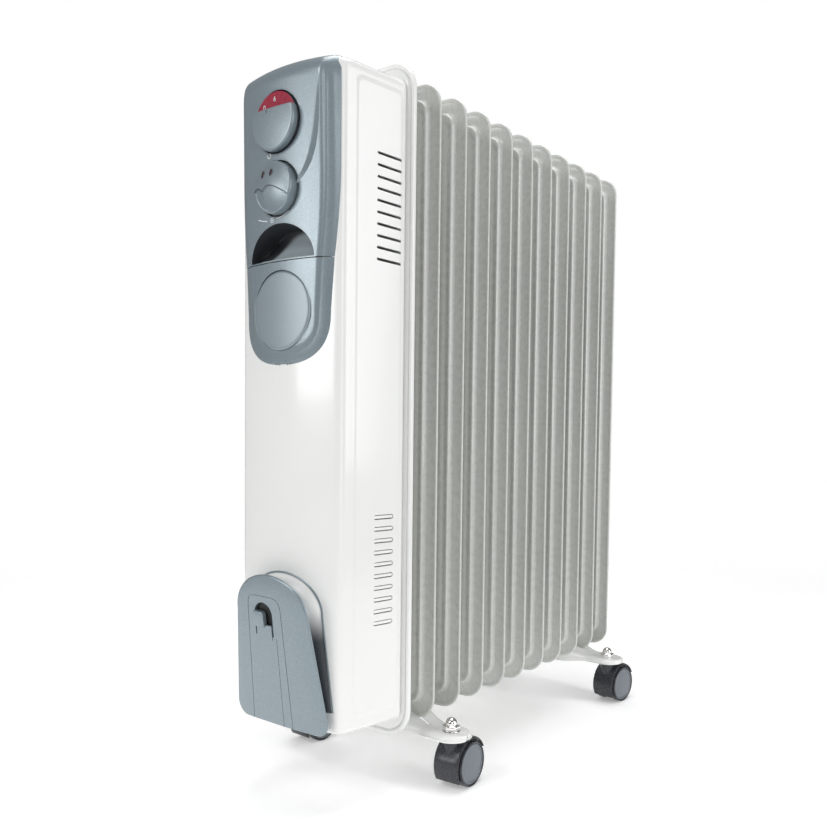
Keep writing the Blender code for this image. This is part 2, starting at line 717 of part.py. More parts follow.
def knob_profile(radius, depth, wall=0.0022, hub=0.0065):
    """A hollow knob cap with a rounded front edge and a hub for its spindle, front at height = depth."""
    spindle = SPINDLE_RADIUS + GAP
    top, rounding = depth, 0.0030
    edge = [
        (radius - rounding + rounding * math.sin(a), top - rounding + rounding * math.cos(a))
        for a in (math.pi / 2 * i / 3 for i in range(4))
    ]
    return [
        (0.0, top + 0.0006),
        *edge,
        (radius, 0.0),
        (radius - wall, 0.0),
        (radius - wall, top - wall - 0.001),
        (hub, top - wall - 0.001),
        (hub, 0.0),
        (spindle, 0.0),
        (spindle, top - wall),
        (0.0, top - wall),
    ]


def make_controls(grey, red, black, steel):
    """Thermostat and selector: a knob and a spindle that turn, and a body that stays in the housing."""
    facing = Matrix.Rotation(math.pi / 2, 4, "X")
    disc_back = RECESS_FLOOR - GAP
    disc_front = disc_back - SCALE_DISC_THICKNESS
    disc = cylinder(
        "disc", SCALE_DISC_RADIUS, (0, disc_back, THERMOSTAT_Z), (0, disc_front, THERMOSTAT_Z), 32
    )
    hole = cylinder(
        "hole",
        SPINDLE_HOLE + 0.0004,
        (0, disc_back + 0.001, THERMOSTAT_Z),
        (0, disc_front - 0.001, THERMOSTAT_Z),
        12,
    )
    keep(cut(disc, hole), "scale_disc", red)

    knobs = (
        ("thermostat", THERMOSTAT_Z, THERMOSTAT_KNOB_RADIUS, disc_front - GAP, THERMOSTAT_KNOB_FRONT),
        ("selector", SELECTOR_Z, SELECTOR_KNOB_RADIUS, RECESS_FLOOR - GAP, SELECTOR_KNOB_FRONT),
    )
    for name, z, radius, back, front in knobs:
        axis = axis_empty(f"{name}_axis", (0, back, z))
        place = Matrix.Translation((0, back, z)) @ facing
        knob = turned(f"{name} knob", knob_profile(radius, back - front), place, 32)
        if name == "thermostat":
            reach = 2 * radius
            low = (-reach, front - 0.01, z + THERMOSTAT_CHORD)
            cut(knob, box_between("chord", low, (reach, back + 0.01, z + reach)))
            rib_low = (-0.0228, front + 0.001, z + THERMOSTAT_CHORD - 0.002)
            rib = box_between("chord wall", rib_low, (0.0228, back, z + THERMOSTAT_CHORD - 0.0001))
            limit = cylinder("round limit", radius - 0.0004, (0, front - 0.01, z), (0, back + 0.01, z), 32)
            combine(rib, "INTERSECT", [limit])
            join(knob, rib)
        keep(knob, f"{name}_knob", grey, axis)
        spindle_front = front + 0.0022 + 0.0005
        spindle = cylinder("spindle", SPINDLE_RADIUS, (0, SWITCH_FRONT - GAP, z), (0, spindle_front, z), 12)
        keep(spindle, f"{name}_spindle", steel, axis)
        centre = (0, SWITCH_FRONT + SWITCH_SIZE[1] / 2, z)
        body = box(f"{name} body", SWITCH_SIZE, centre)
        terminals = [
            box("terminal", (0.0008, 0.010, 0.006), (x, SWITCH_FRONT + SWITCH_SIZE[1] + 0.004, z))
            for x in (-0.010, 0.0, 0.010)
        ]
        join(body, *terminals)
        keep(body, "thermostat_body" if name == "thermostat" else "selector_switch", black)

    cutout_y = END_PLATE_DISH_FRONT - GAP
    cutout = cylinder("cut-out", 0.009, (0.038, cutout_y, 0.20), (0.038, cutout_y - 0.007, 0.20), 16)
    keep(cutout, "thermal_cutout", black)


# ---------------------------------------------------------------- cord winder


def winder_outline(inset=0.0):
    """Wide at the foot, narrower at the shoulder, and round on top. Height 0 is the plate's lower edge."""
    foot, shoulder = WINDER_FOOT_HALF - inset, WINDER_SHOULDER_HALF - inset
    corner, rise = WINDER_FOOT_CORNER, WINDER_HEIGHT - WINDER_SHOULDER - inset
    points = [
        (foot - corner + corner * math.sin(a), inset + corner - corner * math.cos(a))
        for a in (math.pi / 2 * i / 4 for i in range(5))
    ]
    points += [
        (shoulder * math.cos(a), WINDER_SHOULDER + rise * math.sin(a))
        for a in (math.pi / 2 * i / 6 for i in range(7))
    ]
    return points + [(-x, z) for x, z in reversed(points) if x > 1e-6]


def make_winder(grey, slate):
    """The leaning plate with its hook opening, and the drum that carries it."""
    place = Matrix.Translation((0, WINDER_FOOT_Y, WINDER_FOOT_Z)) @ Matrix.Rotation(WINDER_LEAN, 4, "X")

    def placed(helper):
        helper.matrix_world = place
        return helper

    plate = flat_plate("winder plate", winder_outline(), -WINDER_PLATE_THICKNESS, 0.0)
    middle_x = (HOOK_LEFT + HOOK_RIGHT) / 2
    radius = (HOOK_RIGHT - HOOK_LEFT) / 2
    opening = [
        (middle_x + radius * math.cos(a), HOOK_TOP - radius + radius * math.sin(a))
        for a in (math.pi * i / 10 for i in range(11))
    ]
    opening += [(HOOK_LEFT, HOOK_ROOT), (HOOK_RIGHT, HOOK_ROOT)]
    front = -WINDER_PLATE_THICKNESS
    tongue_low = (HOOK_LEFT + HOOK_SLIT, front, HOOK_ROOT - 0.002)
    tongue = box_between("tongue", tongue_low, (HOOK_RIGHT - HOOK_SLIT, 0.0, HOOK_ROOT + 0.011))
    pad_low = (HOOK_LEFT + HOOK_SLIT, front - HOOK_PAD_RISE, HOOK_ROOT + 0.009)
    pad = box_between("pad", pad_low, (HOOK_LEFT + HOOK_PAD_WIDTH, 0.0, HOOK_ROOT + 0.021))
    cut(plate, placed(flat_plate("hook opening", opening, -0.02, 0.02)))
    join(plate, placed(tongue), placed(pad))
    keep_placed(placed(plate), "cord_winder_plate", grey)

    drum = flat_plate("drum", winder_outline(WINDER_DRUM_INSET), -0.02, 0.06)
    ahead = box_between("ahead of the drum", (-0.1, -0.1, -0.1), (0.1, GAP, 0.3))
    hollow = flat_plate("drum hollow", winder_outline(WINDER_DRUM_INSET + 0.003), 0.0035, 0.07)
    cut(drum, placed(ahead), placed(hollow), housing_block("housing form", GAP, HOUSING_BACK))
    keep_placed(placed(drum), "cord_winder_drum", slate)


def keep_placed(obj, name, material):
    """keep() for a helper that stands away from the origin: its place goes into its mesh."""
    part = keep(obj, name, material)
    part.data.transform(obj.matrix_world)
    return part


# ---------------------------------------------------------------- feet


def foot_section(x):
    """Half width, and the heights of the ridge, the flat top and the skirt's lower edge at this x."""
    lobe_end = CASTOR_X + FOOT_LOBE_RADIUS
    ease = min(max((abs(x) - FOOT_BODY_HALF) / 0.014, 0.0), 1.0)
    ease = ease * ease * (3 - 2 * ease)
    half = FOOT_HALF_WIDTH + (FOOT_LOBE_RADIUS - FOOT_HALF_WIDTH) * ease
    if abs(x) > CASTOR_X:
        half = math.sqrt(max(FOOT_LOBE_RADIUS**2 - (abs(x) - CASTOR_X) ** 2, 0.0))
    ridge = FOOT_RIDGE_Z + (FOOT_LOBE_Z - FOOT_RIDGE_Z) * ease
    top = FOOT_TOP_Z + (FOOT_LOBE_Z - FOOT_TOP_Z) * ease
    skirt = FOOT_SKIRT_Z + (FOOT_LOBE_SKIRT_Z - FOOT_SKIRT_Z) * ease
    assert abs(x) <= lobe_end
    return half, ridge, top, skirt


def foot_solid(name, shrink):
    """The foot's form as a closed loft of sections along X, drawn in by shrink for the hollow inside."""
    end = CASTOR_X + FOOT_LOBE_RADIUS
    half_stations = [0.0, FOOT_BODY_HALF, 0.070, 0.0735, 0.077, 0.080, CASTOR_X]
    half_stations += [CASTOR_X + FOOT_LOBE_RADIUS * math.sin(math.radians(a)) for a in (25, 45, 62, 76)]
    stations = [-x for x in reversed(half_stations[1:])] + half_stations
    bm = bmesh.new()
    rings = []
    for x in stations:
        half, ridge, top, skirt = foot_section(x)
        half = max(half - shrink, 0.0015)
        below = skirt - (0.002 if shrink else 0.0)
        ridge_half = min(0.004, half * 0.3)
        slope_half = min(0.009, half * 0.6)
        points = [
            (-half, below),
            (-half, top - shrink - 0.002),
            (-half * 0.97, top - shrink),
            (-slope_half, top - shrink),
            (-ridge_half, ridge - shrink),
            (ridge_half, ridge - shrink),
            (slope_half, top - shrink),
            (half * 0.97, top - shrink),
            (half, top - shrink - 0.002),
            (half, below),
        ]
        scale = (end - shrink) / end
        rings.append([bm.verts.new((x * scale, y, z)) for y, z in points])
    for one, other in zip(rings, rings[1:]):
        for i in range(len(one)):
            j = (i + 1) % len(one)
            bm.faces.new((one[i], one[j], other[j], other[i]))
    bm.faces.new(rings[0])
    bm.faces.new(rings[-1])
    return object_from(bm, name)


def make_foot(place, white, steel):
    """A pressed channel with a slot for its fin, a U-bolt over the lower hub, and wing nuts below."""
    fin = FOOT_FINS[place]
    y = fin_y(fin)
    inward = 1 if place == "front" else -1
    foot = foot_solid("foot", 0.0)
    hollow = foot_solid("foot hollow", FOOT_SHEET)
    slot_half = FIN_FLANGE_THICKNESS / 2 + 0.0006
    slot = box_between("fin slot", (-FOOT_SLOT_HALF, -slot_half, 0.0), (FOOT_SLOT_HALF, slot_half, 0.2))
    bolt_y = inward * FIN_PITCH / 2
    holes = [
        cylinder("bolt hole", UBOLT_ROD + 0.0004, (x, bolt_y, 0.0), (x, bolt_y, 0.2), 12)
        for x in (-UBOLT_HALF, UBOLT_HALF)
    ]
    holes += [
        cylinder("stem hole", STEM_RADIUS + 0.0004, (x, 0.0, 0.0), (x, 0.0, 0.2), 16)
        for x in (-CASTOR_X, CASTOR_X)
    ]
    cut(foot, hollow, slot, *holes)
    part = keep(foot, f"foot_{place}", white)
    part.location.y = y

    over = [
        (UBOLT_HALF * math.cos(a), y + bolt_y, LOWER_HUB_Z + UBOLT_HALF * math.sin(a))
        for a in (math.pi * i / 12 for i in range(13))
    ]
    path = [(UBOLT_HALF, y + bolt_y, UBOLT_BOTTOM), *over, (-UBOLT_HALF, y + bolt_y, UBOLT_BOTTOM)]
    keep(rod("u-bolt", path, UBOLT_ROD), f"ubolt_{place}", steel)

    for side, x in (("left", -UBOLT_HALF), ("right", UBOLT_HALF)):
        bottom = WING_NUT_TOP - WING_NUT_HEIGHT
        nut = cylinder("nut", 0.0040, (x, y + bolt_y, bottom), (x, y + bolt_y, WING_NUT_TOP), 12)
        wings = box("wings", (0.018, 0.0016, 0.0045), (x, y + bolt_y, bottom + 0.0020))
        bore = cylinder(
            "bore", UBOLT_ROD + GAP, (x, y + bolt_y, bottom - 0.01), (x, y + bolt_y, WING_NUT_TOP + 0.001), 12
        )
        keep(cut(join(nut, wings), bore), f"wing_nut_{place}_{side}", steel)


# ---------------------------------------------------------------- castors


def wheel_body(side):
    """A wheel on the castor's axle, its outer face dished. side is -1 or 1."""
    centre_z, outer = WHEEL_RADIUS, side * WHEEL_OUTER_X
    inner = side * (WHEEL_OUTER_X - WHEEL_WIDTH)
    start, end = (inner, CASTOR_TRAIL, centre_z), (outer, CASTOR_TRAIL, centre_z)
    # Turned by half a facet, so that a flat of the tread meets the floor
    facets = 24
    radius = WHEEL_RADIUS / math.cos(math.pi / facets)
    wheel = cylinder("wheel", radius, start, end, facets, turn=math.pi / facets)
    bore_end = (outer - side * 0.002, CASTOR_TRAIL, centre_z)
    bore_start = (inner - side * 0.001, CASTOR_TRAIL, centre_z)
    bore = cylinder("bore", AXLE_RADIUS + AXLE_CLEARANCE, bore_start, bore_end, 16)
    return cut(wheel, bore)


def hood_body():
    """A web between the wheels under a curved cover, with stub axles and the stem's socket in its front."""
    z = WHEEL_RADIUS
    centre = (CASTOR_TRAIL, z)

    def across(name, radius, half, sides=24):
        return cylinder(name, radius, (-half, *centre), (half, *centre), sides)

    hood = across("hood", HOOD_RADIUS, HOOD_HALF_WIDTH)
    inside = HOOD_RADIUS - HOOD_WALL
    hollows = [
        cylinder("hollow", inside, (s * HOOD_WEB_HALF, *centre), (s * 0.02, *centre), 24) for s in (-1, 1)
    ]
    # The cover stays above the floor, and is cut away low down and at the back, where the wheels show
    low = box_between("low cut", (-0.03, -0.05, -0.05), (0.03, 0.08, 0.0075))
    back = box_between("back cut", (-0.03, CASTOR_TRAIL + 0.006, -0.05), (0.03, 0.08, z + 0.010))
    axle = across("axle", AXLE_RADIUS, WHEEL_OUTER_X - 0.0026, 16)
    neck = cylinder("neck", NECK_RADIUS, (0, 0, 0.028), (0, 0, NECK_TOP), 20)
    socket = cylinder("socket", STEM_RADIUS + 0.0003, (0, 0, STEM_BOTTOM - GAP), (0, 0, 0.1), 16)
    web = across("web", WHEEL_RADIUS - 0.004, HOOD_WEB_HALF)
    cut(hood, *hollows, low, back)
    return cut(join(hood, web, axle, neck), socket)


def make_castor(place, side, slate, steel, chrome):
    x = CASTOR_X if side == "right" else -CASTOR_X
    y = fin_y(FOOT_FINS[place])
    name = f"castor_{place}_{side}"
    turn = CASTOR_TURN[place] * (1 if side == "right" else -1)
    swivel = axis_empty(f"{name}_axis", (x, y, 0.0), turn)

    def hang(helper, suffix, material):
        part = keep(helper, f"{name}_{suffix}", material)
        part.parent = swivel
        return part

    hang(hood_body(), "hood", slate)
    hang(wheel_body(-1), "wheel_left", slate)
    hang(wheel_body(1), "wheel_right", slate)
    stem = cylinder("stem", STEM_RADIUS, (x, y, STEM_BOTTOM), (x, y, STEM_TOP), 16)
    keep(stem, f"{name}_stem", steel)
    keep(acorn_nut(x, y), f"{name}_nut", chrome)


def acorn_nut(x, y):
    """A hexagon with a dome, bored from below."""
    base = FOOT_LOBE_Z + GAP
    across_corners = NUT_ACROSS_FLATS / math.cos(math.pi / 6)
    nut = cylinder("hexagon", across_corners / 2, (x, y, base), (x, y, base + NUT_HEX_HEIGHT), 6)
    dome_radius = 0.0058
    straight = NUT_HEIGHT - dome_radius
    profile = [
        (dome_radius * math.sin(a), straight + dome_radius * math.cos(a))
        for a in (math.pi / 2 * i / 4 for i in range(5))
    ]
    profile += [(dome_radius, 0.001), (0.0, 0.001)]
    dome = turned("dome", profile, Matrix.Translation((x, y, base)), 12)
    bore = cylinder("bore", STEM_RADIUS + GAP, (x, y, base - 0.001), (x, y, STEM_TOP + GAP), 16)
    return cut(join(nut, dome), bore)


def main():
    clear_scene()
    white = make_material("white_enamel", (0.86, 0.87, 0.85), 0.25)
    grey = make_material("grey_blue_plastic", (0.25, 0.32, 0.36), 0.40)
    slate = make_material("slate_plastic", (0.05, 0.06, 0.075), 0.45)
    black = make_material("black_plastic", (0.02, 0.02, 0.02), 0.50)
    red = make_material("red_plastic", (0.32, 0.02, 0.05), 0.30)
    steel = make_material("zinc_steel", (0.55, 0.55, 0.56), 0.35, metallic=1.0)
    chrome = make_material("chrome", (0.80, 0.80, 0.80), 0.08, metallic=1.0)
    brass = make_material("brass", (0.70, 0.52, 0.22), 0.30, metallic=1.0)

    make_fins(white)
    make_element(steel, brass)
    make_end_plate(white)
    make_housing(white, black)
    make_panel(grey, slate, red)
    make_controls(grey, red, black, steel)
    make_winder(grey, slate)
    for place in FOOT_FINS:
        make_foot(place, white, steel)
        for side in ("left", "right"):
            make_castor(place, side, slate, steel, chrome)


main()
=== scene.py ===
import math

import bmesh
import bpy
from mathutils import Matrix, Vector


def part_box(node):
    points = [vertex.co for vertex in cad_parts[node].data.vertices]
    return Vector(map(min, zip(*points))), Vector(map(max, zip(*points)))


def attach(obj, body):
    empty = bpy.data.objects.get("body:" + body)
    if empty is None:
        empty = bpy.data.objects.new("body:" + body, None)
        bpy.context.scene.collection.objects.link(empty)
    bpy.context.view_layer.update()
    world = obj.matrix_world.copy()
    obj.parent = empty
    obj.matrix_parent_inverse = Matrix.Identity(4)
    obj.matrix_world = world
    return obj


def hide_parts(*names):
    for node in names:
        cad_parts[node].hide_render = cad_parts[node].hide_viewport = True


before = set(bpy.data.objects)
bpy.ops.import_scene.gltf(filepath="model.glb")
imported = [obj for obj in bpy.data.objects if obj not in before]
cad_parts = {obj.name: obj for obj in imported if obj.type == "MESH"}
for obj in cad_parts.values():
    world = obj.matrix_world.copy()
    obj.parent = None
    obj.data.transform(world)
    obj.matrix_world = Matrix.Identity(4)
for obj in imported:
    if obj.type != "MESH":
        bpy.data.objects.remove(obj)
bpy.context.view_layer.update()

SCENE = bpy.context.scene
ROOT = "heater"

# The first fin's mid-plane and the fins' lower edge. Every other place is counted from these two.
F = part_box("fin_11")[1].y - 0.4130
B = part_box("fin_02")[0].z
PITCH = 0.0407
FIN_W, FIN_H = 0.148, 0.580


# ------------------------------------------------------------------ camera, light and floor


def make_camera():
    data = bpy.data.cameras.new("camera")
    data.sensor_width = 36.0
    data.lens = 37.44
    data.shift_y = 0.0689
    data.clip_start, data.clip_end = 0.05, 50.0
    camera = bpy.data.objects.new("camera", data)
    SCENE.collection.objects.link(camera)
    camera.location = (0.5345, F - 0.5902, B + 0.2695)
    a, e, roll = math.radians(37.7), math.radians(2.78), math.radians(0.61)
    forward = Vector((-math.sin(a) * math.cos(e), math.cos(a) * math.cos(e), -math.sin(e)))
    right = Vector((math.cos(a), math.sin(a), 0.0))
    up = right.cross(forward)
    r2 = right * math.cos(roll) + up * math.sin(roll)
    u2 = up * math.cos(roll) - right * math.sin(roll)
    camera.rotation_mode = "QUATERNION"
    camera.rotation_quaternion = Matrix((r2, u2, -forward)).transposed().to_quaternion()
    SCENE.camera = camera


# Each area light: where it stands, what it points at, its width and height, and its power
LIGHTS = {
    "side": ((2.25, 0.50, 0.90), (0.0, 0.05, 0.33), (1.3, 1.5), 23.0),
    "strip": ((1.75, -1.55, 0.75), (0.0, -0.25, 0.40), (0.40, 1.6), 7.0),
    "front": ((-0.95, -2.2, 0.82), (0.0, -0.2, 0.33), (0.9, 0.8), 14.0),
    "high": ((-0.15, -2.1, 1.70), (0.0, -0.1, 0.40), (0.6, 0.6), 12.0),
    "top": ((0.1, 0.1, 2.2), (0.0, 0.0, 0.3), (1.2, 1.2), 24.0),
    "back": ((-1.6, 1.6, 1.0), (0.0, 0.1, 0.3), (1.2, 1.2), 12.0),
}
SOFT_WORLD = 0.20  # the grey that lights the object, while the camera sees white
FLOOR_FADE = (0.6, 1.6)  # the distances between which the floor fades into the white


def area_light(name, place, target, size, power):
    data = bpy.data.lights.new(name, "AREA")
    data.energy = power
    data.shape = "RECTANGLE"
    data.size, data.size_y = size
    light = bpy.data.objects.new(name, data)
    SCENE.collection.objects.link(light)
    light.location = place
    light.rotation_mode = "QUATERNION"
    light.rotation_quaternion = (Vector(target) - Vector(place)).to_track_quat("-Z", "Y")


def make_studio():
    SCENE.view_settings.view_transform = "Standard"
    world = bpy.data.worlds.new("studio")
    SCENE.world = world
    world.use_nodes = True
    nodes, links = world.node_tree.nodes, world.node_tree.links
    background = nodes["Background"]
    background.inputs["Color"].default_value = (1.0, 1.0, 1.0, 1.0)
    background.inputs["Strength"].default_value = 1.0
    path = nodes.new("ShaderNodeLightPath")
    soft = nodes.new("ShaderNodeBackground")
    soft.inputs["Color"].default_value = (0.98, 0.99, 1.0, 1.0)
    soft.inputs["Strength"].default_value = SOFT_WORLD
    mix = nodes.new("ShaderNodeMixShader")
    links.new(path.outputs["Is Camera Ray"], mix.inputs["Fac"])
    links.new(soft.outputs["Background"], mix.inputs[1])
    links.new(background.outputs["Background"], mix.inputs[2])
    links.new(mix.outputs["Shader"], nodes["World Output"].inputs["Surface"])

    for name, (place, target, size, power) in LIGHTS.items():
        area_light(name, place, target, size, power)

    bm = bmesh.new()
    bmesh.ops.create_grid(bm, x_segments=1, y_segments=1, size=60.0)
    floor = object_of(bm, "studio_floor")
    floor.data.materials.append(floor_material())


def floor_material():
    """Pale near the object, fading into the white of the studio."""
    look = Look("pale_floor", (0.92, 0.92, 0.92), 0.90)
    look.set("Emission Color", (1.0, 1.0, 1.0, 1.0))
    look.set("Emission Strength", 0.25)
    look.set("Specular IOR Level", 0.1)
    far = look.step(look.distance(), *FLOOR_FADE)
    look.feed("Alpha", look.spread(far, 1.0, 0.0))
    return look.material


# ------------------------------------------------------------------ materials


def scaled(colour, factor):
    return tuple(channel * factor for channel in colour)


class Look:
    """A material with a Principled shader, and the few kinds of node that the looks here are made of."""

    def __init__(self, name, colour, roughness, metallic=0.0):
        self.material = bpy.data.materials.new(name)
        self.material.use_nodes = True
        self.nodes, self.links = self.material.node_tree.nodes, self.material.node_tree.links
        self.shader = self.nodes["Principled BSDF"]
        self.set("Base Color", (*colour, 1.0))
        self.set("Roughness", roughness)
        self.set("Metallic", metallic)

    def set(self, socket, value):
        self.shader.inputs[socket].default_value = value

    def feed(self, socket, output):
        self.links.new(output, self.shader.inputs[socket])

    def add(self, kind, linked, **values):
        """A node with the given input values, and its linked input fed by an output."""
        node = self.nodes.new(f"ShaderNode{kind}")
        for socket, value in values.items():
            node.inputs[socket.replace("_", " ")].default_value = value
        socket, output = linked
        self.links.new(output, node.inputs[socket])
        return node

    def place(self):
        return self.nodes.new("ShaderNodeTexCoord").outputs["Object"]

    def noise(self, scale, detail=3.0):
        """A noise texture in object space."""
        return self.add("TexNoise", ("Vector", self.place()), Scale=scale, Detail=detail).outputs["Fac"]

    def distance(self, centre=(0.0, 0.0, 0.0), scale=(1.0, 1.0, 1.0)):
        """The distance from a point, with each axis scaled."""
        away = scaled(centre, -1.0)
        mapping = self.add("Mapping", ("Vector", self.place()), Location=away, Scale=scale)
        length = self.add("VectorMath", (0, mapping.outputs["Vector"]))
        length.operation = "LENGTH"
        return length.outputs["Value"]

    def ramp(self, value, *stops):
        """The base colour from (position, colour) stops."""
        node = self.add("ValToRGB", ("Fac", value))
        elements = node.color_ramp.elements
        while len(elements) < len(stops):
            elements.new(0.5)
        for element, (position, colour) in zip(elements, stops):
            element.position = position
            element.color = (*colour, 1.0)
        self.feed("Base Color", node.outputs["Color"])

    def spread(self, value, low, high):
        return self.add("MapRange", ("Value", value), To_Min=low, To_Max=high).outputs["Result"]

    def step(self, value, start, stop):
        node = self.add("MapRange", ("Value", value), From_Min=start, From_Max=stop)
        node.interpolation_type = "SMOOTHSTEP"
        return node.outputs["Result"]

    def bump(self, height, strength, distance):
        node = self.add("Bump", ("Height", height), Strength=strength, Distance=distance)
        self.feed("Normal", node.outputs["Normal"])


def enamel(name, colour, roughness=0.22):
    """Baked enamel over pressed steel: glossy, with a faint orange peel and a little unevenness."""
    look = Look(name, colour, roughness)
    look.ramp(look.noise(9.0, 4.0), (0.3, scaled(colour, 0.975)), (0.7, scaled(colour, 1.01)))
    look.feed("Roughness", look.spread(look.noise(160.0, 2.0), roughness - 0.03, roughness + 0.06))
    look.set("Coat Weight", 0.35)
    look.set("Coat Roughness", 0.08)
    look.bump(look.noise(350.0, 1.0), 0.003, 0.0001)
    return look.material


def metallic_plastic(name, colour, roughness=0.33, fleck=0.16):
    """Moulded plastic with fine metal flake in it."""
    look = Look(name, colour, roughness, metallic=0.30)
    flake = look.noise(1900.0, 1.0)
    look.ramp(flake, (0.36, scaled(colour, 1.0 - fleck)), (0.5, colour), (0.66, scaled(colour, 1.0 + fleck)))
    look.feed("Roughness", look.spread(look.noise(300.0, 2.0), roughness - 0.05, roughness + 0.06))
    look.bump(flake, 0.06, 0.0001)
    look.set("Coat Weight", 0.6)
    look.set("Coat Roughness", 0.30)
    return look.material


def plain_plastic(name, colour, roughness, grain=0.12):
    """Moulded plastic with a fine spark-eroded grain."""
    look = Look(name, colour, roughness)
    texture = look.noise(900.0, 3.0)
    look.ramp(texture, (0.3, scaled(colour, 0.88)), (0.7, scaled(colour, 1.12)))
    look.feed("Roughness", look.spread(texture, roughness - 0.06, roughness + 0.08))
    look.bump(texture, grain, 0.0002)
    return look.material


def metal(name, colour, roughness, scale=260.0, grain=0.08):
    """Bare or plated metal: the roughness follows a fine grain."""
    look = Look(name, colour, roughness, metallic=1.0)
    texture = look.noise(scale, 4.0)
    look.ramp(texture, (0.3, scaled(colour, 0.90)), (0.7, scaled(colour, 1.06)))
    look.feed("Roughness", look.spread(texture, max(roughness - 0.05, 0.02), roughness + 0.10))
    look.bump(texture, grain, 0.0001)
    return look.material


def cove_plastic():
    """The drum: slate, with painted light that makes it paler over its top where it turns up to the light."""
    look = Look("slate_cove_painted_light", (0.05, 0.06, 0.07), 0.34)
    split = look.add("SeparateXYZ", ("Vector", look.place()))
    height = look.step(split.outputs["Z"], B + 0.090, B + 0.122)
    look.ramp(height, (0.0, (0.040, 0.047, 0.056)), (1.0, (0.86, 0.87, 0.86)))
    look.bump(look.noise(900.0), 0.05, 0.0002)
    return look.material


def grip_plastic():
    """The grip pocket, with painted light and shade: panel grey on the scoop, dark up under the arch and on the side
    away from the light.
    """
    look = Look("grip_plastic", (0.1, 0.12, 0.13), 0.40)
    away = look.distance((0.009, 0.0, B + 0.4032), (1.0, 0.0, 1.0))
    look.ramp(look.step(away, 0.0285, 0.0345), (0.0, (0.36, 0.42, 0.45)), (1.0, (0.030, 0.034, 0.038)))
    look.bump(look.noise(900.0), 0.06, 0.0002)
    return look.material


def make_materials():
    return {
        "cove": cove_plastic(),
        "grip": grip_plastic(),
        "badge": metallic_plastic("badge_plastic", (0.265, 0.320, 0.352), 0.42, 0.08),
        "white": enamel("white_enamel", (0.86, 0.865, 0.85)),
        # The fins are the housing's white enamel, painted darker grey as the shade between the fins.
        "fin": enamel("fin_enamel_painted_shade", (0.66, 0.67, 0.64), 0.26),
        "grey": metallic_plastic("grey_blue_plastic", (0.235, 0.290, 0.322)),
        # Dark slate painted as shade: in the recesses, on the scale disc's side and along the selector's wave step.
        "slate": plain_plastic("slate_plastic", (0.050, 0.056, 0.068), 0.38),
        "castor": plain_plastic("castor_plastic", (0.030, 0.031, 0.038), 0.26, 0.05),
        "disc": metallic_plastic("castor_disc_plastic", (0.115, 0.135, 0.160), 0.40, 0.10),
        "black": plain_plastic("black_plastic", (0.016, 0.016, 0.017), 0.50),
        "red": plain_plastic("red_plastic", (0.33, 0.016, 0.045), 0.28, 0.05),
        "dark_red": plain_plastic("dark_red_window", (0.020, 0.001, 0.004), 0.25, 0.03),
        "print": plain_plastic("white_print", (0.72, 0.76, 0.77), 0.45, 0.02),
        "ink": plain_plastic("dark_print", (0.05, 0.06, 0.07), 0.45, 0.02),
        "chrome": metal("chrome", (0.86, 0.84, 0.82), 0.07, scale=90.0, grain=0.02),
        "zinc": metal("zinc_steel", (0.56, 0.56, 0.57), 0.34),
        "brass": metal("brass", (0.70, 0.52, 0.22), 0.30),
        "rubber": plain_plastic("gland_rubber", (0.018, 0.018, 0.019), 0.62, 0.20),
    }


# ------------------------------------------------------------------ mesh helpers


def object_of(bm, name):
    bmesh.ops.recalc_face_normals(bm, faces=bm.faces)
    mesh = bpy.data.meshes.new(name)
    bm.to_mesh(mesh)
    bm.free()
    obj = bpy.data.objects.new(name, mesh)
    SCENE.collection.objects.link(obj)
    return obj


def bake(obj):
    """The object's modifiers made part of its mesh."""
    bpy.context.view_layer.update()
    evaluated = obj.evaluated_get(bpy.context.evaluated_depsgraph_get())
    mesh = bpy.data.meshes.new_from_object(evaluated)
    old = obj.data
    obj.modifiers.clear()
    obj.data = mesh
    bpy.data.meshes.remove(old)
    return obj


def cut(obj, *cutters):
    """Take the cutters out of the object."""
    other = merge(*cutters)
    modifier = obj.modifiers.new("cut", "BOOLEAN")
    modifier.operation = "DIFFERENCE"
    modifier.solver = "EXACT"
    modifier.object = other
    bake(obj)
    bpy.data.objects.remove(other)


def thicken(obj, thickness, offset=-1.0):
    """Turn an open sheet into a solid wall."""
    solid = obj.modifiers.new("sheet", "SOLIDIFY")
    solid.thickness = thickness
    solid.offset = offset
    return bake(obj)


def bevel(obj, width, segments=3, angle=35.0):
    modifier = obj.modifiers.new("bevel", "BEVEL")
    modifier.width = width
    modifier.segments = segments
    modifier.limit_method = "ANGLE"
    modifier.angle_limit = math.radians(angle)
    modifier.use_clamp_overlap = True
    return bake(obj)


def merge(target, *others):
    """Join meshes into one object, keeping each one's materials."""
    bm = bmesh.new()
    slots = []
    for obj in (target, *others):
        first = len(bm.faces)
        bm.from_mesh(obj.data)
        bm.faces.ensure_lookup_table()
        for face in bm.faces[first:]:
            material = obj.data.materials[face.material_index] if obj.data.materials else None
            if material not in slots:
                slots.append(material)
            face.material_index = slots.index(material)
    target.data.materials.clear()
    for material in slots:
        target.data.materials.append(material)
    bm.to_mesh(target.data)
    bm.free()
    for obj in others:
        bpy.data.objects.remove(obj)
    return target


def box(name, low, high):
    size = [b - a for a, b in zip(low, high)]
    centre = [(a + b) / 2 for a, b in zip(low, high)]
    bm = bmesh.new()
    bmesh.ops.create_cube(bm, size=1.0, matrix=Matrix.Translation(centre) @ Matrix.Diagonal((*size, 1.0)))
    return object_of(bm, name)


def cylinder(name, radius, start, end, sides=48):
    start, end = Vector(start), Vector(end)
    along = end - start
    place = Matrix.Translation((start + end) / 2) @ along.to_track_quat("Z", "Y").to_matrix().to_4x4()
    bm = bmesh.new()
    bmesh.ops.create_cone(
        bm, cap_ends=True, segments=sides, radius1=radius, radius2=radius, depth=along.length, matrix=place
    )
    return object_of(bm, name)


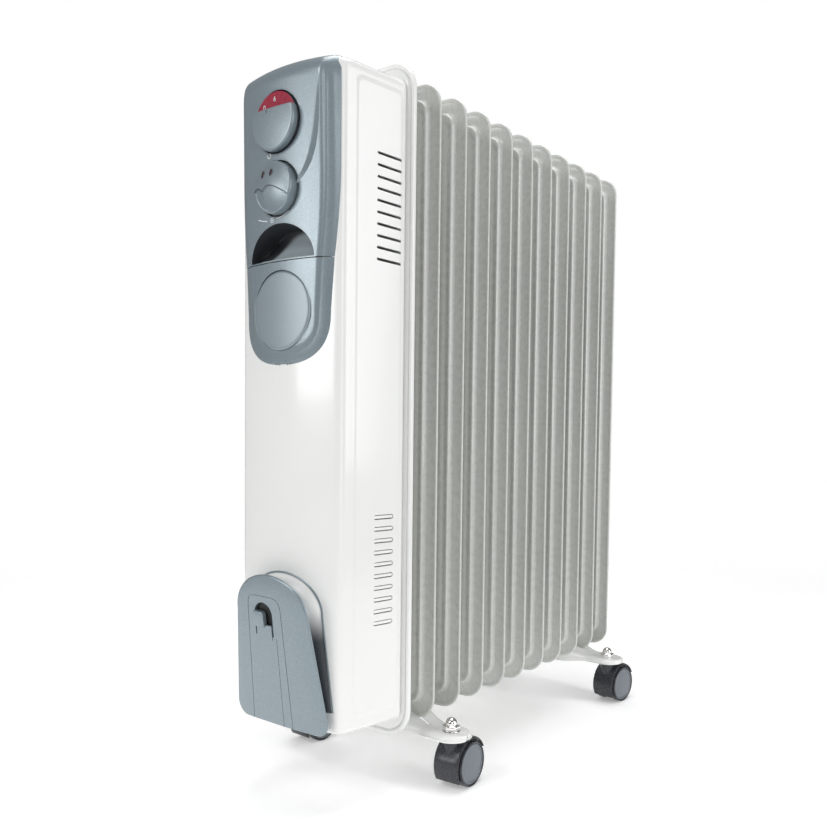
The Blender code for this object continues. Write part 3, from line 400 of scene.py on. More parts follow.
def loft(name, rings, closed=True, cap_first=False, cap_last=False):
    """Quads between rings of points. A closed ring joins its last point to its first."""
    bm = bmesh.new()
    made = [[bm.verts.new(point) for point in ring] for ring in rings]
    count = len(made[0])
    for one, other in zip(made, made[1:]):
        for i in range(count if closed else count - 1):
            j = (i + 1) % count
            bm.faces.new((one[i], one[j], other[j], other[i]))
    if cap_first:
        bm.faces.new(made[0])
    if cap_last:
        bm.faces.new(made[-1])
    bmesh.ops.remove_doubles(bm, verts=bm.verts, dist=1e-6)
    return object_of(bm, name)


def angles(start, stop, steps):
    """Evenly spaced angles in degrees from start to stop, as radians."""
    return [math.radians(start + (stop - start) * i / steps) for i in range(steps + 1)]


def turned(name, profile, place, steps=64):
    """A body of revolution about Z from (radius, height) points, then placed."""
    rings = [[(r * math.cos(a), r * math.sin(a), h) for r, h in profile] for a in angles(0, 360, steps)[:-1]]
    rings.append(rings[0])
    obj = loft(name, rings, closed=False)
    obj.data.transform(place)
    return obj


def slab(name, outline, front, back):
    """A plate drawn in X and Z, from y = front to y = back."""
    rings = [[(x, y, z) for x, z in outline] for y in (front, back)]
    return loft(name, rings, cap_first=True, cap_last=True)


def rounded_ring(half_x, half_z, corner, middle_z, segments=10, side=16):
    """Points of a rounded rectangle in X and Z with evenly split sides, so that rings of it line up."""
    arcs = []
    for quarter, (sx, sz) in enumerate([(1, 1), (-1, 1), (-1, -1), (1, -1)]):
        cx, cz = sx * (half_x - corner), middle_z + sz * (half_z - corner)
        turn = angles(quarter * 90, quarter * 90 + 90, segments)
        arcs.append([(cx + corner * math.cos(a), cz + corner * math.sin(a)) for a in turn])
    points = []
    for arc, following in zip(arcs, arcs[1:] + arcs[:1]):
        (x0, z0), (x1, z1) = arc[-1], following[0]
        points += arc + [(x0 + (x1 - x0) * k / side, z0 + (z1 - z0) * k / side) for k in range(1, side)]
    return points


def finish_piece(obj, material, body=ROOT, stands_for=(), angle=35.0):
    if material is not None:
        obj.data.materials.clear()
        obj.data.materials.append(material)
    obj.data.shade_smooth()
    obj.data.set_sharp_from_angle(angle=math.radians(angle))
    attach(obj, body)
    if stands_for:
        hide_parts(*stands_for)
    return obj


# ------------------------------------------------------------------ fins and end plate


def ease(t):
    t = min(max(t, 0.0), 1.0)
    return t * t * (3 - 2 * t)


def fin_profile():
    """(inset, half thickness) from the rolled rim inwards: flange, oil channel ridge, panel."""
    rim = [(0.0013 - 0.0013 * math.cos(a), 0.0013 * math.sin(a)) for a in angles(0, 90, 4)]
    rim += [(0.0022, 0.0012), (0.0030, 0.0008), (0.0040, 0.0006)]
    flange = [(0.0070, 0.0006), (0.0102, 0.0006)]
    step = [(0.0106 + 0.0030 * t, 0.0006 + 0.0054 * ease(t)) for t in (0.15, 0.3, 0.45, 0.6, 0.75, 0.9, 1.0)]
    crest = [(0.0145, 0.0060), (0.0155, 0.0058), (0.0166, 0.0052), (0.0178, 0.0046), (0.0190, 0.0046)]
    inner = [(0.0202, 0.0052), (0.0214, 0.0059), (0.0228, 0.0060), (0.0260, 0.0056), (0.0320, 0.0052)]
    return rim + flange + step + crest + inner


def fin_half(sign, lower=0.0):
    """One side of a fin as rings from its rim to its middle. sign is -1 for the front; lower shortens the dish."""
    rings = []
    middle = B + FIN_H / 2
    for inset, half in fin_profile():
        extra = lower * ease((inset - 0.0070) / 0.0040)
        corner = max(0.0215 - inset * 0.62, 0.0105)
        ring = rounded_ring(FIN_W / 2 - inset, FIN_H / 2 - inset * 1.12 - extra, corner, middle)
        rings.append([(x, sign * half, z) for x, z in ring])
    return rings


# Sections of pressed beads: (offset across, height), as shares of the half width and the height
BEAD = ((-1.0, 0.0), (-0.5, 0.7), (0.0, 1.0), (0.5, 0.7), (1.0, 0.0))
RIB = ((-1.0, 0.0), (-0.55, 0.75), (0.0, 1.0), (0.55, 0.75), (1.0, 0.0))


def arc_bead(radius, width, height, base, z_centre, sign, start, end, steps=40):
    """A raised pressed line along an arc round a hub."""
    rings = []
    for i, a in enumerate(angles(start, end, steps)):
        fade = min(1.0, i / 3, (steps - i) / 3)
        ring = []
        for offset, lift in BEAD:
            r = radius + offset * width
            y = base + (height * lift * fade if lift else -0.0004)
            ring.append((r * math.cos(a), sign * y, z_centre + r * math.sin(a)))
        rings.append(ring)
    return loft("arc", rings, closed=False)


def vertical_bead(x, low, high, sign, width=0.0026, height=0.0009, base=0.0047, steps=20):
    """A long pressed rib with rounded ends."""
    rings = []
    for i in range(steps + 1):
        fade = 0.0 if i in (0, steps) else 1.0
        z = low + (high - low) * i / steps
        rings.append([(x + offset * width, sign * (base + height * lift * fade), z) for offset, lift in RIB])
    return loft("rib", rings, closed=False)


def hub(sign, z, reach, radius, base=0.0048, root=0.006):
    """A pressed collar with a rounded root, and its weld bead where it meets the next."""
    profile = [(0.0225, reach - 0.0004), (0.0228, reach), (radius - 0.0006, reach), (radius, reach - 0.0006)]
    for a in angles(0, 90, 5):
        profile.append((radius + root * (1 - math.cos(a)), base + root * (1 - math.sin(a))))
    place = Matrix.Translation((0, 0, z)) @ Matrix.Rotation(-sign * math.pi / 2, 4, "X")
    return turned("hub", profile, place, 40)


HUB_Z = (B + 0.048, B + FIN_H - 0.048)
HUB_RADIUS, FILLER_RADIUS = 0.0250, 0.0160


def fin_mesh(front_reach, back_reach, first=False):
    """A fin about y = 0: two pressed sheets, beads and the hubs' collars."""
    front, back = fin_half(-1, 0.0068 if first else 0.0), fin_half(1)
    fin = loft("fin", front[::-1] + back[1:], cap_first=True, cap_last=True)
    pieces = []
    for sign, reach in ((-1, front_reach), (1, back_reach)):
        for z, start, end in zip(HUB_Z, (-22, 158), (202, 382)):
            pieces.append(arc_bead(0.0490, 0.0016, 0.0009, 0.0051, z, sign, start, end))
            pieces.append(arc_bead(0.0345, 0.0013, 0.0007, 0.0050, z, sign, start - 20, end + 20))
        for x in (-0.021, 0.0, 0.021):
            pieces.append(vertical_bead(x, B + 0.115, B + FIN_H - 0.115, sign))
        for z in HUB_Z if reach else ():
            filler = first and sign < 0 and z == HUB_Z[1]
            pieces.append(hub(sign, z, reach, FILLER_RADIUS if filler else HUB_RADIUS))
    return merge(fin, *pieces)


def make_fins(mats):
    """The first and the last fin are their own, and the nine between them share one mesh."""
    half = PITCH / 2 - 0.00015
    fins = [fin_mesh(0.0120, half, first=True), fin_mesh(half, half)]
    for _ in range(8):
        fins.append(bpy.data.objects.new("fin", fins[1].data))
        SCENE.collection.objects.link(fins[-1])
    fins.append(fin_mesh(half, 0.0))
    for index, fin in enumerate(fins):
        name = f"fin_{index + 1:02d}"
        fin.name = f"{name}_pressed"
        fin.location.y = F + index * PITCH
        finish_piece(fin, mats["fin"], ROOT, [name], 30.0)


# The end plate's rings from its rolled rim inwards: (inset in X, y, inset in Z, corner radius)
PLATE_RINGS = [
    (inset, y, inset, 0.0245 - inset * 0.6)
    for inset, y in (
        (0.0014, 0.0012), (0.0014, 0.0020), (0.0004, 0.0021), (0.0, 0.0017), (0.0, -0.0010), (0.0003, -0.0018),
        (0.0010, -0.0024), (0.0019, -0.0026), (0.0027, -0.0022), (0.0032, -0.0014), (0.0037, -0.0008),
        (0.0042, -0.0014), (0.0047, -0.0024), (0.0056, -0.0029),
    )
] + [
    (0.0068, -0.0029, 0.0150, 0.02042), (0.0080, -0.0030, 0.0180, 0.0197), (0.0090, -0.0040, 0.0195, 0.0191),
    (0.0100, -0.0090, 0.0205, 0.017), (0.0112, -0.0103, 0.0217, 0.016), (0.0135, -0.0105, 0.0240, 0.014),
]


def make_end_plate(mats):
    """A dished plate with a rolled rim, two beads and a deep dish inside the housing."""
    half_x, half_z, middle = 0.0765, 0.294, B + FIN_H / 2
    rings = []
    for inset, y, down, corner in PLATE_RINGS:
        points = rounded_ring(half_x - inset, half_z - down, corner, middle, segments=14)
        rings.append([(x, F + y, z) for x, z in points])
    plate = loft("housing_back_plate_pressed", rings, cap_last=True)
    thicken(plate, 0.0010)
    finish_piece(plate, mats["white"], ROOT, ["housing_back_plate"], 40.0)


# ------------------------------------------------------------------ housing


# The housing's half widths at the front and back, its ends in Y and Z, and how far its front and top are bowed
HOUSING = {
    "half_front": 0.0600,
    "half_back": 0.0710,
    "front": F - 0.0720,
    "back": F - 0.0031,
    "bow": 0.008,
    "bottom": B + 0.0135,
    "top": B + 0.5655,
    "crown": 0.006,
    "edge": 0.0062,
}
# The flat field pressed out of each side
FIELD = {"y": (F - 0.0598, F - 0.0085), "z": (B + 0.0255, B + 0.5545), "corner": 0.0075}


def side_half(y):
    """The housing side's distance from the middle at this y."""
    h = HOUSING
    return h["half_front"] + (h["half_back"] - h["half_front"]) * (y - h["front"]) / (h["back"] - h["front"])


def field_lift(y, z):
    """How far the field stands out here."""
    y0, y1 = FIELD["y"]
    z0, z1 = FIELD["z"]
    corner = FIELD["corner"]
    dy = max(y0 + corner - y, y - y1 + corner)
    dz = max(z0 + corner - z, z - z1 + corner)
    if dy > 0 and dz > 0:
        inside = corner - math.hypot(dy, dz)
    else:
        inside = corner - max(dy, dz)
    return 0.0009 * ease(inside / 0.0028)


def bezier(points, t):
    """The place at t from 0 to 1 on the curve with these control points."""
    while len(points) > 1:
        points = [tuple(a + (b - a) * t for a, b in zip(one, other)) for one, other in zip(points, points[1:])]
    return points[0]


def housing_front(x, half=HOUSING["half_front"]):
    """The bowed front of the housing."""
    return HOUSING["front"] - HOUSING["bow"] * (1 - (x / half) ** 2)


def housing_plan(inset, side_steps=56, corner_steps=9, front_steps=24):
    """Half of the cover's plan, from its rear edge round the corner to the middle of the front."""
    h = HOUSING
    front, half = h["front"] + inset, h["half_front"] - inset
    corner = max(h["edge"] - 0.6 * inset, 0.0015)
    stop = front + corner
    points = []
    for i in range(side_steps + 1):
        y = h["back"] + (stop - h["back"]) * i / side_steps
        turn_in = 0.0022 * ease((y - h["back"] + 0.0050) / 0.0050) ** 2
        points.append((side_half(y) - inset - turn_in, y))
    end_x = half - corner
    rounding = (points[-1], (half, front), (end_x, inset + housing_front(end_x, half)))
    points += [bezier(rounding, i / corner_steps) for i in range(1, corner_steps + 1)]
    across = [end_x * (1 - i / front_steps) for i in range(1, front_steps + 1)]
    return points + [(x, inset + housing_front(x, half)) for x in across]


def housing_rows():
    """(height, inset, shrink) for each ring from the middle of the base up to the middle of the top."""
    h = HOUSING
    edge = h["edge"]
    rows = [(h["bottom"], edge, k / 8) for k in range(8, 0, -1)]
    arcs = [math.pi / 2 * i / 7 for i in range(8)]
    rows += [(h["bottom"] + edge * (1 - math.cos(a)), edge * (1 - math.sin(a)), 0.0) for a in arcs]
    low, high = h["bottom"] + edge, h["top"] - edge
    z0, z1 = FIELD["z"]
    heights = [z0 - 0.002 + 0.0011 * i for i in range(12)] + [z1 + 0.002 - 0.0011 * i for i in range(11, -1, -1)]
    heights += [z0 + 0.02 + (z1 - z0 - 0.04) * i / 24 for i in range(25)]
    rows += [(z, 0.0, 0.0) for z in sorted(heights) if low < z < high]
    rows += [(h["top"] - edge * (1 - math.sin(a)), edge * (1 - math.cos(a)), 0.0) for a in arcs]
    rows += [(h["top"], edge, k / 8) for k in range(1, 9)]
    return rows


def outward(obj):
    """Turn an open sheet's faces so that the front ones look forward."""
    if sum(face.normal.y * face.area for face in obj.data.polygons) > 0:
        obj.data.flip_normals()


def slot_cutter(centre, size, tilt=0.0):
    """A slot with round ends through a side wall: size is (length, depth, height)."""
    length, depth, height = size
    radius = height / 2
    straight = length / 2 - radius
    turn = angles(90, -90, 8)
    outline = [
        (side * (straight + radius * math.cos(a)), side * radius * math.sin(a))
        for side in (1, -1)
        for a in turn
    ]
    sections = [[(x, y, z) for y, z in outline] for x in (-depth / 2, depth / 2)]
    slot = loft("slot", sections, cap_first=True, cap_last=True)
    slot.data.transform(Matrix.Translation(centre) @ Matrix.Rotation(tilt, 4, "X"))
    return slot


VENT_Y, VENT_SIZE, VENT_TILT = F - 0.0240, (0.0270, 0.03, 0.0024), -0.045
VENTS = [B + 0.4100 + 0.0097 * index for index in range(10)]
LOUVRE_Y, LOUVRE_LENGTH, LOUVRE_HEIGHT = F - 0.0275, 0.0216, 0.0040
LOUVRES = [B + 0.1033 + 0.01009 * index for index in range(10)]


def louvre(sign, z):
    """A pressed louvre: a low pill that stays joined at its front end, with an open slit round the rest."""
    length, height = LOUVRE_LENGTH - 0.0006, LOUVRE_HEIGHT - 0.0013
    rings = []
    for k in range(6):
        a = math.pi / 2 * k / 5
        inset = (1 - math.cos(a)) * 0.0008
        out = 0.0009 * math.sin(a) - 0.0006
        radius = height / 2 - inset
        ring = rounded_ring(length / 2 - inset, radius, radius - 0.0001, z + 0.0001, segments=5, side=3)
        rings.append(
            [(sign * (side_half(LOUVRE_Y + y) + 0.0009 + out), LOUVRE_Y - 0.0005 + y, zz) for y, zz in ring]
        )
    return loft("louvre", rings, cap_last=True)


def make_housing(mats):
    h = HOUSING
    rings = []
    for z, inset, shrink in housing_rows():
        half = housing_plan(inset)
        right = []
        for x, y in half:
            on_side = ease((h["front"] + 0.0115 - y) / -0.002) if shrink == 0 and inset == 0 else 0.0
            xx = (x + field_lift(y, z) * on_side) * (1 - shrink)
            yy = y + (h["back"] - y) * shrink
            rise = h["crown"] * (1 - (xx / h["half_back"]) ** 2) * ease((z - B - 0.45) / 0.11)
            right.append((xx, yy, z + rise))
        rings.append(right + [(-x, y, z) for x, y, z in reversed(right[:-1])])
    shell = loft("housing_cover_pressed", rings, closed=False)
    outward(shell)
    thicken(shell, 0.0015)
    slots = []
    for sign in (-1, 1):
        for z in VENTS:
            slots.append(slot_cutter((sign * 0.068, VENT_Y, z), VENT_SIZE, VENT_TILT))
        for z in LOUVRES:
            centre = (sign * (side_half(LOUVRE_Y) + 0.001), LOUVRE_Y, z)
            slots.append(slot_cutter(centre, (LOUVRE_LENGTH, 0.010, LOUVRE_HEIGHT)))
    slots.append(slab("grip hole", arch(0.0030), h["front"] - 0.03, h["front"] + 0.01))
    gland = Vector((-0.030, F - 0.035, h["bottom"]))
    slots.append(cylinder("gland hole", 0.0072, gland - Vector((0, 0, 0.01)), gland + Vector((0, 0, 0.01)), 32))
    cut(shell, *slots)
    blisters = [louvre(sign, z) for z in LOUVRES for sign in (-1, 1)]
    merge(shell, *blisters)
    finish_piece(shell, mats["white"], ROOT, ["housing_cover"], 32.0)


# ------------------------------------------------------------------ control panel


SEAM_Z = B + 0.4080
GRIP_HALF, GRIP_HEIGHT, GRIP_LOW = 0.0375, 0.0300, B + 0.4092
PANEL_BOW, PANEL_BACK = 0.0044, F - 0.0630
PANEL_GAP, ROLL_X = 0.0002, 0.0130
TOP_ROLL, TOP_RIDGE, TOP_MIDDLE = 0.018, F - 0.0680, B + 0.5728
THERMOSTAT_Z, SELECTOR_Z, BADGE_Z = B + 0.5215, B + 0.4675, B + 0.3672
RECESS_FLOOR = F - 0.0820


def arch(grow, segments=24):
    """The grip opening's outline, grown by a margin."""
    half, height = GRIP_HALF + grow, GRIP_HEIGHT + grow
    return [(half * math.cos(a), GRIP_LOW - grow + (height + grow) * math.sin(a)) for a in angles(0, 180, segments)]


def panel_half(z):
    """Half the panel's width at a height."""
    local = z - B
    if local >= 0.480:
        return 0.0573
    if local >= 0.408:
        return 0.0573 - 0.0047 * ((0.480 - local) / 0.072) ** 2
    if local >= 0.366:
        return 0.0526 - 0.0031 * (0.408 - local) / 0.042
    t = min((0.366 - local) / 0.0435, 0.9998)
    return 0.0495 * (1 - t**2.6) ** (1 / 2.6)


def panel_centre(z):
    """The front's middle line: it leans forward towards the top."""
    local = min(max(z - B, 0.326), 0.560)
    return F - 0.0843 - 0.0262 * (local - 0.368)


# The blade moulded beside the knobs: curve points of its sharp inner edge and its outer foot, as (x, height above B)
BLADE_INNER = ((0.0203, 0.4690), (0.0420, 0.4917), (0.0368, 0.5258), (0.0462, 0.5560))
BLADE_OUTER = ((0.0208, 0.4686), (0.0505, 0.4840), (0.0420, 0.5254), (0.0466, 0.5560))


# The blade's section: (share of its width from the inner edge, share of its height)
BLADE = ((0.0, -0.15), (0.02, 0.80), (0.07, 1.0), (0.16, 1.0), (0.30, 0.88), (0.50, 0.58), (0.75, 0.20), (1.0, -0.10))


def blade(side, steps=60):
    """One moulded blade: it rises sharply at its inner edge and slopes away outwards to the surface."""
    rings = []
    for i in range(steps + 1):
        t = i / steps
        (x0, z0), (x1, z1) = bezier(BLADE_INNER, t), bezier(BLADE_OUTER, t)
        height = 0.0021 * min(1.0, t / 0.08) ** 0.7 * (1 - t) ** 0.4
        ring = []
        for share, lift in BLADE:
            x, z = x0 + (x1 - x0) * share, B + z0 + (z1 - z0) * share
            sunk = 0.0002 if share in (0.0, 1.0) else 0.0
            ring.append((side * x, panel_y(x, z) - height * lift + sunk, z))
        rings.append(ring)
    return loft("blade", rings, closed=False)


# The panel's side: how far back it has dropped (0 to 1) on the way from the front's end to its outer edge
SIDE_PLAIN = ((0.0, 0.0), (0.12, 0.06), (0.28, 0.18), (0.46, 0.36), (0.72, 0.64), (1.0, 1.0))
SIDE_GROOVED = ((0.0, 0.0), (0.12, 0.08), (0.28, 0.31), (0.46, 0.40), (0.72, 0.60), (1.0, 1.0))


def spline(points, x):
    """The height at x of a smooth line through (x, height) points."""
    index = max(i for i in range(len(points) - 1) if points[i][0] <= x or i == 0)
    before, after = points[max(index - 1, 0)], points[min(index + 2, len(points) - 1)]
    (x0, y0), (x1, y1) = points[index], points[index + 1]
    span = x1 - x0
    t = (x - x0) / span
    slope0 = (y1 - before[1]) / (x1 - before[0]) * span
    slope1 = (after[1] - y0) / (after[0] - x0) * span
    a, b = 2 * t**3 - 3 * t**2 + 1, t**3 - 2 * t**2 + t
    return a * y0 + b * slope0 + (1 - a) * y1 + (t**3 - t**2) * slope1


LOWEST = B + 0.3226
# Half of the lower cover's outline, from its lowest point up, to measure the distance to its edge from
OUTLINE = [(0.0, LOWEST), (0.0022, LOWEST)]
OUTLINE += [(panel_half(z), z) for z in (LOWEST + 0.0455 * (1 - math.cos(a)) for a in angles(0, 90, 40))]


def panel_y(x, z, grooved=1.0):
    """The panel's front surface at x and z: a bowed front that rolls back round its edge."""
    x = abs(x)
    inside = panel_half(z) - x
    if z < B + 0.381:
        inside = min([inside] + [math.hypot(x - px, z - pz) for px, pz in OUTLINE])
    t = 1 - min(max(inside, 0.0) / ROLL_X, 1.0)
    front = panel_centre(z) + PANEL_BOW * (x / 0.0427) ** 2
    plain, deep = spline(SIDE_PLAIN, t), spline(SIDE_GROOVED, t)
    return front + (housing_front(x) - PANEL_GAP - front) * (plain + (deep - plain) * grooved)


def panel_section(z, grooved=1.0, front_steps=34, side_steps=28):
    """The panel's plan at a height: (x, y) from the right rear edge to the left rear edge."""
    half = panel_half(z)
    flat = half - ROLL_X * min(1.0, half / 0.030)
    across = [half - (half - flat) * i / side_steps for i in range(side_steps)]
    across += [flat * (1 - i / front_steps) for i in range(front_steps)]
    profile = [(half + 0.0002, PANEL_BACK), (half + 0.0001, (PANEL_BACK + housing_front(half) - PANEL_GAP) / 2)]
    profile += [(x, panel_y(x, z, grooved)) for x in across]
    return profile + [(0.0, panel_y(0.0, z, grooved))] + [(-x, y) for x, y in reversed(profile)]


def top_line(x):
    """The height of the panel's top ridge: a low crown that drops round each corner."""
    corner = max(abs(x) - 0.0500, 0.0)
    drop = 0.0080 - math.sqrt(max(0.0080**2 - corner**2, 0.0))
    return TOP_MIDDLE - 0.0025 * (x / 0.045) ** 2 - drop


def panel_sheet(name, levels, rounded_top):
    """The panel's skin as an open sheet, with a generously rounded top when it has one."""
    rings = [[(x, y, z) for x, y in panel_section(z)] for z in levels]
    if rounded_top:
        z0 = levels[-1]
        for i in range(1, 23):
            share = math.sin(math.pi / 2 * i / 22)
            ring = []
            for x, y in panel_section(z0, 1 - ease(share * 1.25)):
                z = z0 + (top_line(x) - z0) * share
                depth = min(max((top_line(x) - z) / TOP_ROLL, 0.0), 1.0)
                keep = math.sqrt(max(1 - (1 - depth) ** 2, 0.0))
                front = panel_centre(z) - panel_centre(z0) + y if y < TOP_RIDGE else y
                if y < TOP_RIDGE:
                    front = TOP_RIDGE - (TOP_RIDGE - front) * keep
                ring.append((x * (1 - 0.012 * (1 - keep)), front, z))
            rings.append(ring)
        last = rings[-1]
        for k in range(1, 5):
            t = k / 4
            rings.append([(x, y + (PANEL_BACK - y) * t, z + 0.0001 * k) for x, y, z in last])
    sheet = loft(name, rings, closed=False)
    outward(sheet)
    return thicken(sheet, 0.0016)


def ribbon(points, width, lift=0.00012, surface=panel_y):
    """A printed line: a narrow strip that follows a surface along (x, z) points."""
    left, right = [], []
    for i, (x, z) in enumerate(points):
        x0, z0 = points[max(i - 1, 0)]
        x1, z1 = points[min(i + 1, len(points) - 1)]
        length = math.hypot(x1 - x0, z1 - z0) or 1.0
        nx, nz = -(z1 - z0) / length * width / 2, (x1 - x0) / length * width / 2
        left.append((x + nx, surface(x + nx, z + nz) - lift, z + nz))
        right.append((x - nx, surface(x - nx, z - nz) - lift, z - nz))
    return loft("print", [left, right], closed=False)


def arc_points(cx, cz, radius, start, end, steps=24):
    return [(cx + radius * math.cos(a), cz + radius * math.sin(a)) for a in angles(start, end, steps)]


def cup(radius, z, floor):
    """A round recess: its rounded mouth, wall and floor."""
    rings = []
    for r, y in ((0.0008, -0.00005), (0.0004, 0.0001), (0.0001, 0.0004), (0.0, 0.0008)):
        rings.append([(px, panel_y(px, pz) + y, pz) for px, pz in arc_points(0.0, z, radius + r, 0, 360, 96)])
    for share in (0.4, 1.0):
        rings.append([(x, y + (floor - y) * share, zz) for x, y, zz in rings[3]])
    rings.append([(px, floor, pz) for px, pz in arc_points(0.0, z, radius * 0.3, 0, 360, 96)])
    return loft("cup", rings, closed=False, cap_last=False)


def make_panel(mats):
    front = F - 0.12
    levels = [SEAM_Z + 0.0004 + (B + 0.5440 - SEAM_Z) * i / 104 for i in range(105)]
    upper = panel_sheet("control_panel_moulding", levels, True)
    recesses = ((THERMOSTAT_Z, 0.0256), (SELECTOR_Z, 0.0231))
    cutters = [cylinder("recess", radius, (0, front, z), (0, F - 0.0765, z), 96) for z, radius in recesses]
    cutters.append(slab("grip", arch(0.0, 40), front, F - 0.074))
    cut(upper, *cutters)
    upper.data.materials.append(mats["grey"])
    # The recesses are painted dark slate as the shade inside them.
    cups = [cup(radius, z, RECESS_FLOOR) for z, radius in recesses]
    for part in cups:
        part.data.materials.append(mats["slate"])
    ridge = blade(1)
    ridge.data.materials.append(mats["grey"])
    merge(upper, ridge, *cups)
    finish_piece(upper, None, ROOT, ["control_panel"], 38.0)

    levels = [LOWEST + (B + 0.366 - LOWEST) * (1 - math.cos(math.pi / 2 * i / 22)) for i in range(1, 23)]
    levels += [B + 0.366 + (SEAM_Z - 0.0004 - B - 0.366) * i / 12 for i in range(1, 13)]
    lower = panel_sheet("lower_cover_moulding", levels, False)
    cut(lower, cylinder("badge recess", 0.0336, (0, front, BADGE_Z), (0, F - 0.0765, BADGE_Z), 96))
    merge(lower, cup(0.0336, BADGE_Z, F - 0.0822))
    finish_piece(lower, mats["grey"], ROOT, ["lower_cover"], 38.0)

    # The badge disc follows the cover's gentle bow and carries no lettering
    rings = []
    edge = [(0.0331, 0.0034), (0.0331, 0.0015), (0.0328, 0.0009), (0.0323, 0.0004), (0.0316, 0.0001), (0.0308, 0.0)]
    for radius, back in edge + [(0.0308 * k / 12, 0.0) for k in range(11, 0, -1)]:
        circle = arc_points(0.0, BADGE_Z, radius, 0, 360, 96)[:-1]
        rings.append([(x, panel_y(x, BADGE_Z) - 0.0008 + back, z) for x, z in circle])
    badge = loft("badge_disc_moulding", rings, cap_last=True)
    finish_piece(badge, mats["badge"], ROOT, ["badge_disc"], 40.0)

    prints = [
        ribbon([(-0.0257, B + 0.4454), (-0.0200, B + 0.4437), (-0.0137, B + 0.4427)], 0.0008),
        ribbon([(-0.0027, B + 0.4430), (0.0050, B + 0.4447), (0.0121, B + 0.4479)], 0.0006),
        ribbon(arc_points(-0.0100, B + 0.4957, 0.0019, 150, 430), 0.0008),
    ]
    cx, cz = -0.0076, B + 0.4427
    for dx in (-0.0014, 0.0014):
        prints.append(ribbon([(cx + dx, cz + 0.0018), (cx + dx, cz - 0.0018)], 0.0006))
    for dz in (-0.0017, 0.0, 0.0017):
        prints.append(ribbon([(cx - 0.0014, cz + dz), (cx + 0.0014, cz + dz)], 0.0006))
    pointer = [(-0.0234, 0.0016), (-0.0234, -0.0016), (-0.0264, -0.0002)]
    corners = [(x, panel_y(x, SELECTOR_Z + z) - 0.0002, SELECTOR_Z + z) for x, z in pointer]
    mark = loft("pointer_mark", [corners, [tuple(sum(c[i] for c in corners) / 3 for i in range(3))] * 3])
    finish_piece(mark, mats["ink"], ROOT)
    finish_piece(merge(*prints), mats["print"], ROOT).name = "panel_marks"
    make_grip(mats)


def make_grip(mats):
    """The grip pocket: walls that follow the arch, and a back that falls steeply from the lower lip."""
    steps = 40

    def depth_at(z):
        t = min(max((z - GRIP_LOW) / GRIP_HEIGHT, 0.0), 1.0)
        return 0.0040 + 0.0190 * (1 - (1 - t) ** 2.6)

    rings = []
    for grow, share in ((0.0002, 0.0), (0.0, 0.04), (-0.0002, 0.5), (-0.0006, 0.90), (-0.0020, 1.0)):
        ring = []
        for x, z in arch(grow, steps):
            start = panel_y(x, max(z, SEAM_Z)) + 0.0002
            ring.append((x, start + depth_at(z) * share, max(z, GRIP_LOW)))
        rings.append(ring)
    last = rings[-1]
    for k in range(1, 11):
        shrink = 1 - k / 10
        rings.append([(x * shrink, y + 0.0010 * (1 - shrink), z) for x, y, z in last])
    pocket = loft("grip_pocket_moulding", rings, closed=False)
    lip = []
    for share in (0.0, 0.35, 0.7, 1.0):
        xs = [-GRIP_HALF + 2 * GRIP_HALF * i / 24 for i in range(25)]
        lip.append([(x, panel_y(x, SEAM_Z) + 0.0002 + 0.0045 * share, GRIP_LOW + 0.0004 * share) for x in xs])
    merge(pocket, loft("lip", lip, closed=False))
    thicken(pocket, 0.0010, 0.0)
    finish_piece(pocket, mats["grip"], ROOT, ["grip_pocket"], 60.0)


# ------------------------------------------------------------------ knobs


def disc_rings(radius, front, back, z, dome, rounding, steps=96, relief=None, rows=24):
    """Rings of a domed knob face from its middle to its side and back."""
    rings = []
    for k in range(1, rows + 1):
        r = (radius - rounding) * k / rows
        ring = []
        for i in range(steps):
            a = 2 * math.pi * i / steps
            x, zz = r * math.cos(a), r * math.sin(a)
            y = front + dome * (r / radius) ** 2
            if relief:
                y += relief(x, zz)
            ring.append((x, y, z + zz))
        rings.append(ring)
    edge = front + dome * ((radius - rounding) / radius) ** 2
    for k in range(1, 7):
        a = math.pi / 2 * k / 6
        r = radius - rounding + rounding * math.sin(a)
        ring = []
        for i in range(steps):
            b = 2 * math.pi * i / steps
            x, zz = r * math.cos(b), r * math.sin(b)
            y = edge + rounding * (1 - math.cos(a))
            if relief:
                y += relief(x, zz) * (1 - k / 6)
            ring.append((x, y, z + zz))
        rings.append(ring)
    rings.append([(x, back, zz) for x, _, zz in rings[-1]])
    return rings


def wave(x):
    """The wavy step across the selector's face: a small hump, a sharp dip and a long hump."""
    small = -0.0000 - 0.0035 * ((x + 0.0158) / 0.0069) ** 2
    if x < -0.0014:
        large = 0.0008 - 0.0043 * ((x + 0.0014) / 0.0075) ** 2
    else:
        large = 0.0008 - 0.0079 * ((x + 0.0014) / 0.0182) ** 1.6
    return max(small, large)


def selector_relief(x, z):
    """The face steps back below the wave, and falls away from it on both sides."""
    return 0.0008 * ease(0.5 + (wave(x) - z) / 0.0009) + 0.06 * max(wave(x) - z, 0.0) + 0.04 * max(z - wave(x), 0.0)


def numeral(text, x, z, y, size, name):
    curve = bpy.data.curves.new(name, "FONT")
    curve.body = text
    curve.size = size
    curve.align_x = "CENTER"
    curve.align_y = "CENTER"
    curve.extrude = 0.00005
    obj = bpy.data.objects.new(name, curve)
    SCENE.collection.objects.link(obj)
    obj.matrix_world = Matrix.Translation((x, y, z)) @ Matrix.Rotation(math.pi / 2, 4, "X")
    bpy.context.view_layer.update()
    mesh = bpy.data.meshes.new_from_object(obj.evaluated_get(bpy.context.evaluated_depsgraph_get()))
    mesh.transform(obj.matrix_world)
    bpy.data.objects.remove(obj)
    made = bpy.data.objects.new(name, mesh)
    SCENE.collection.objects.link(made)
    return made


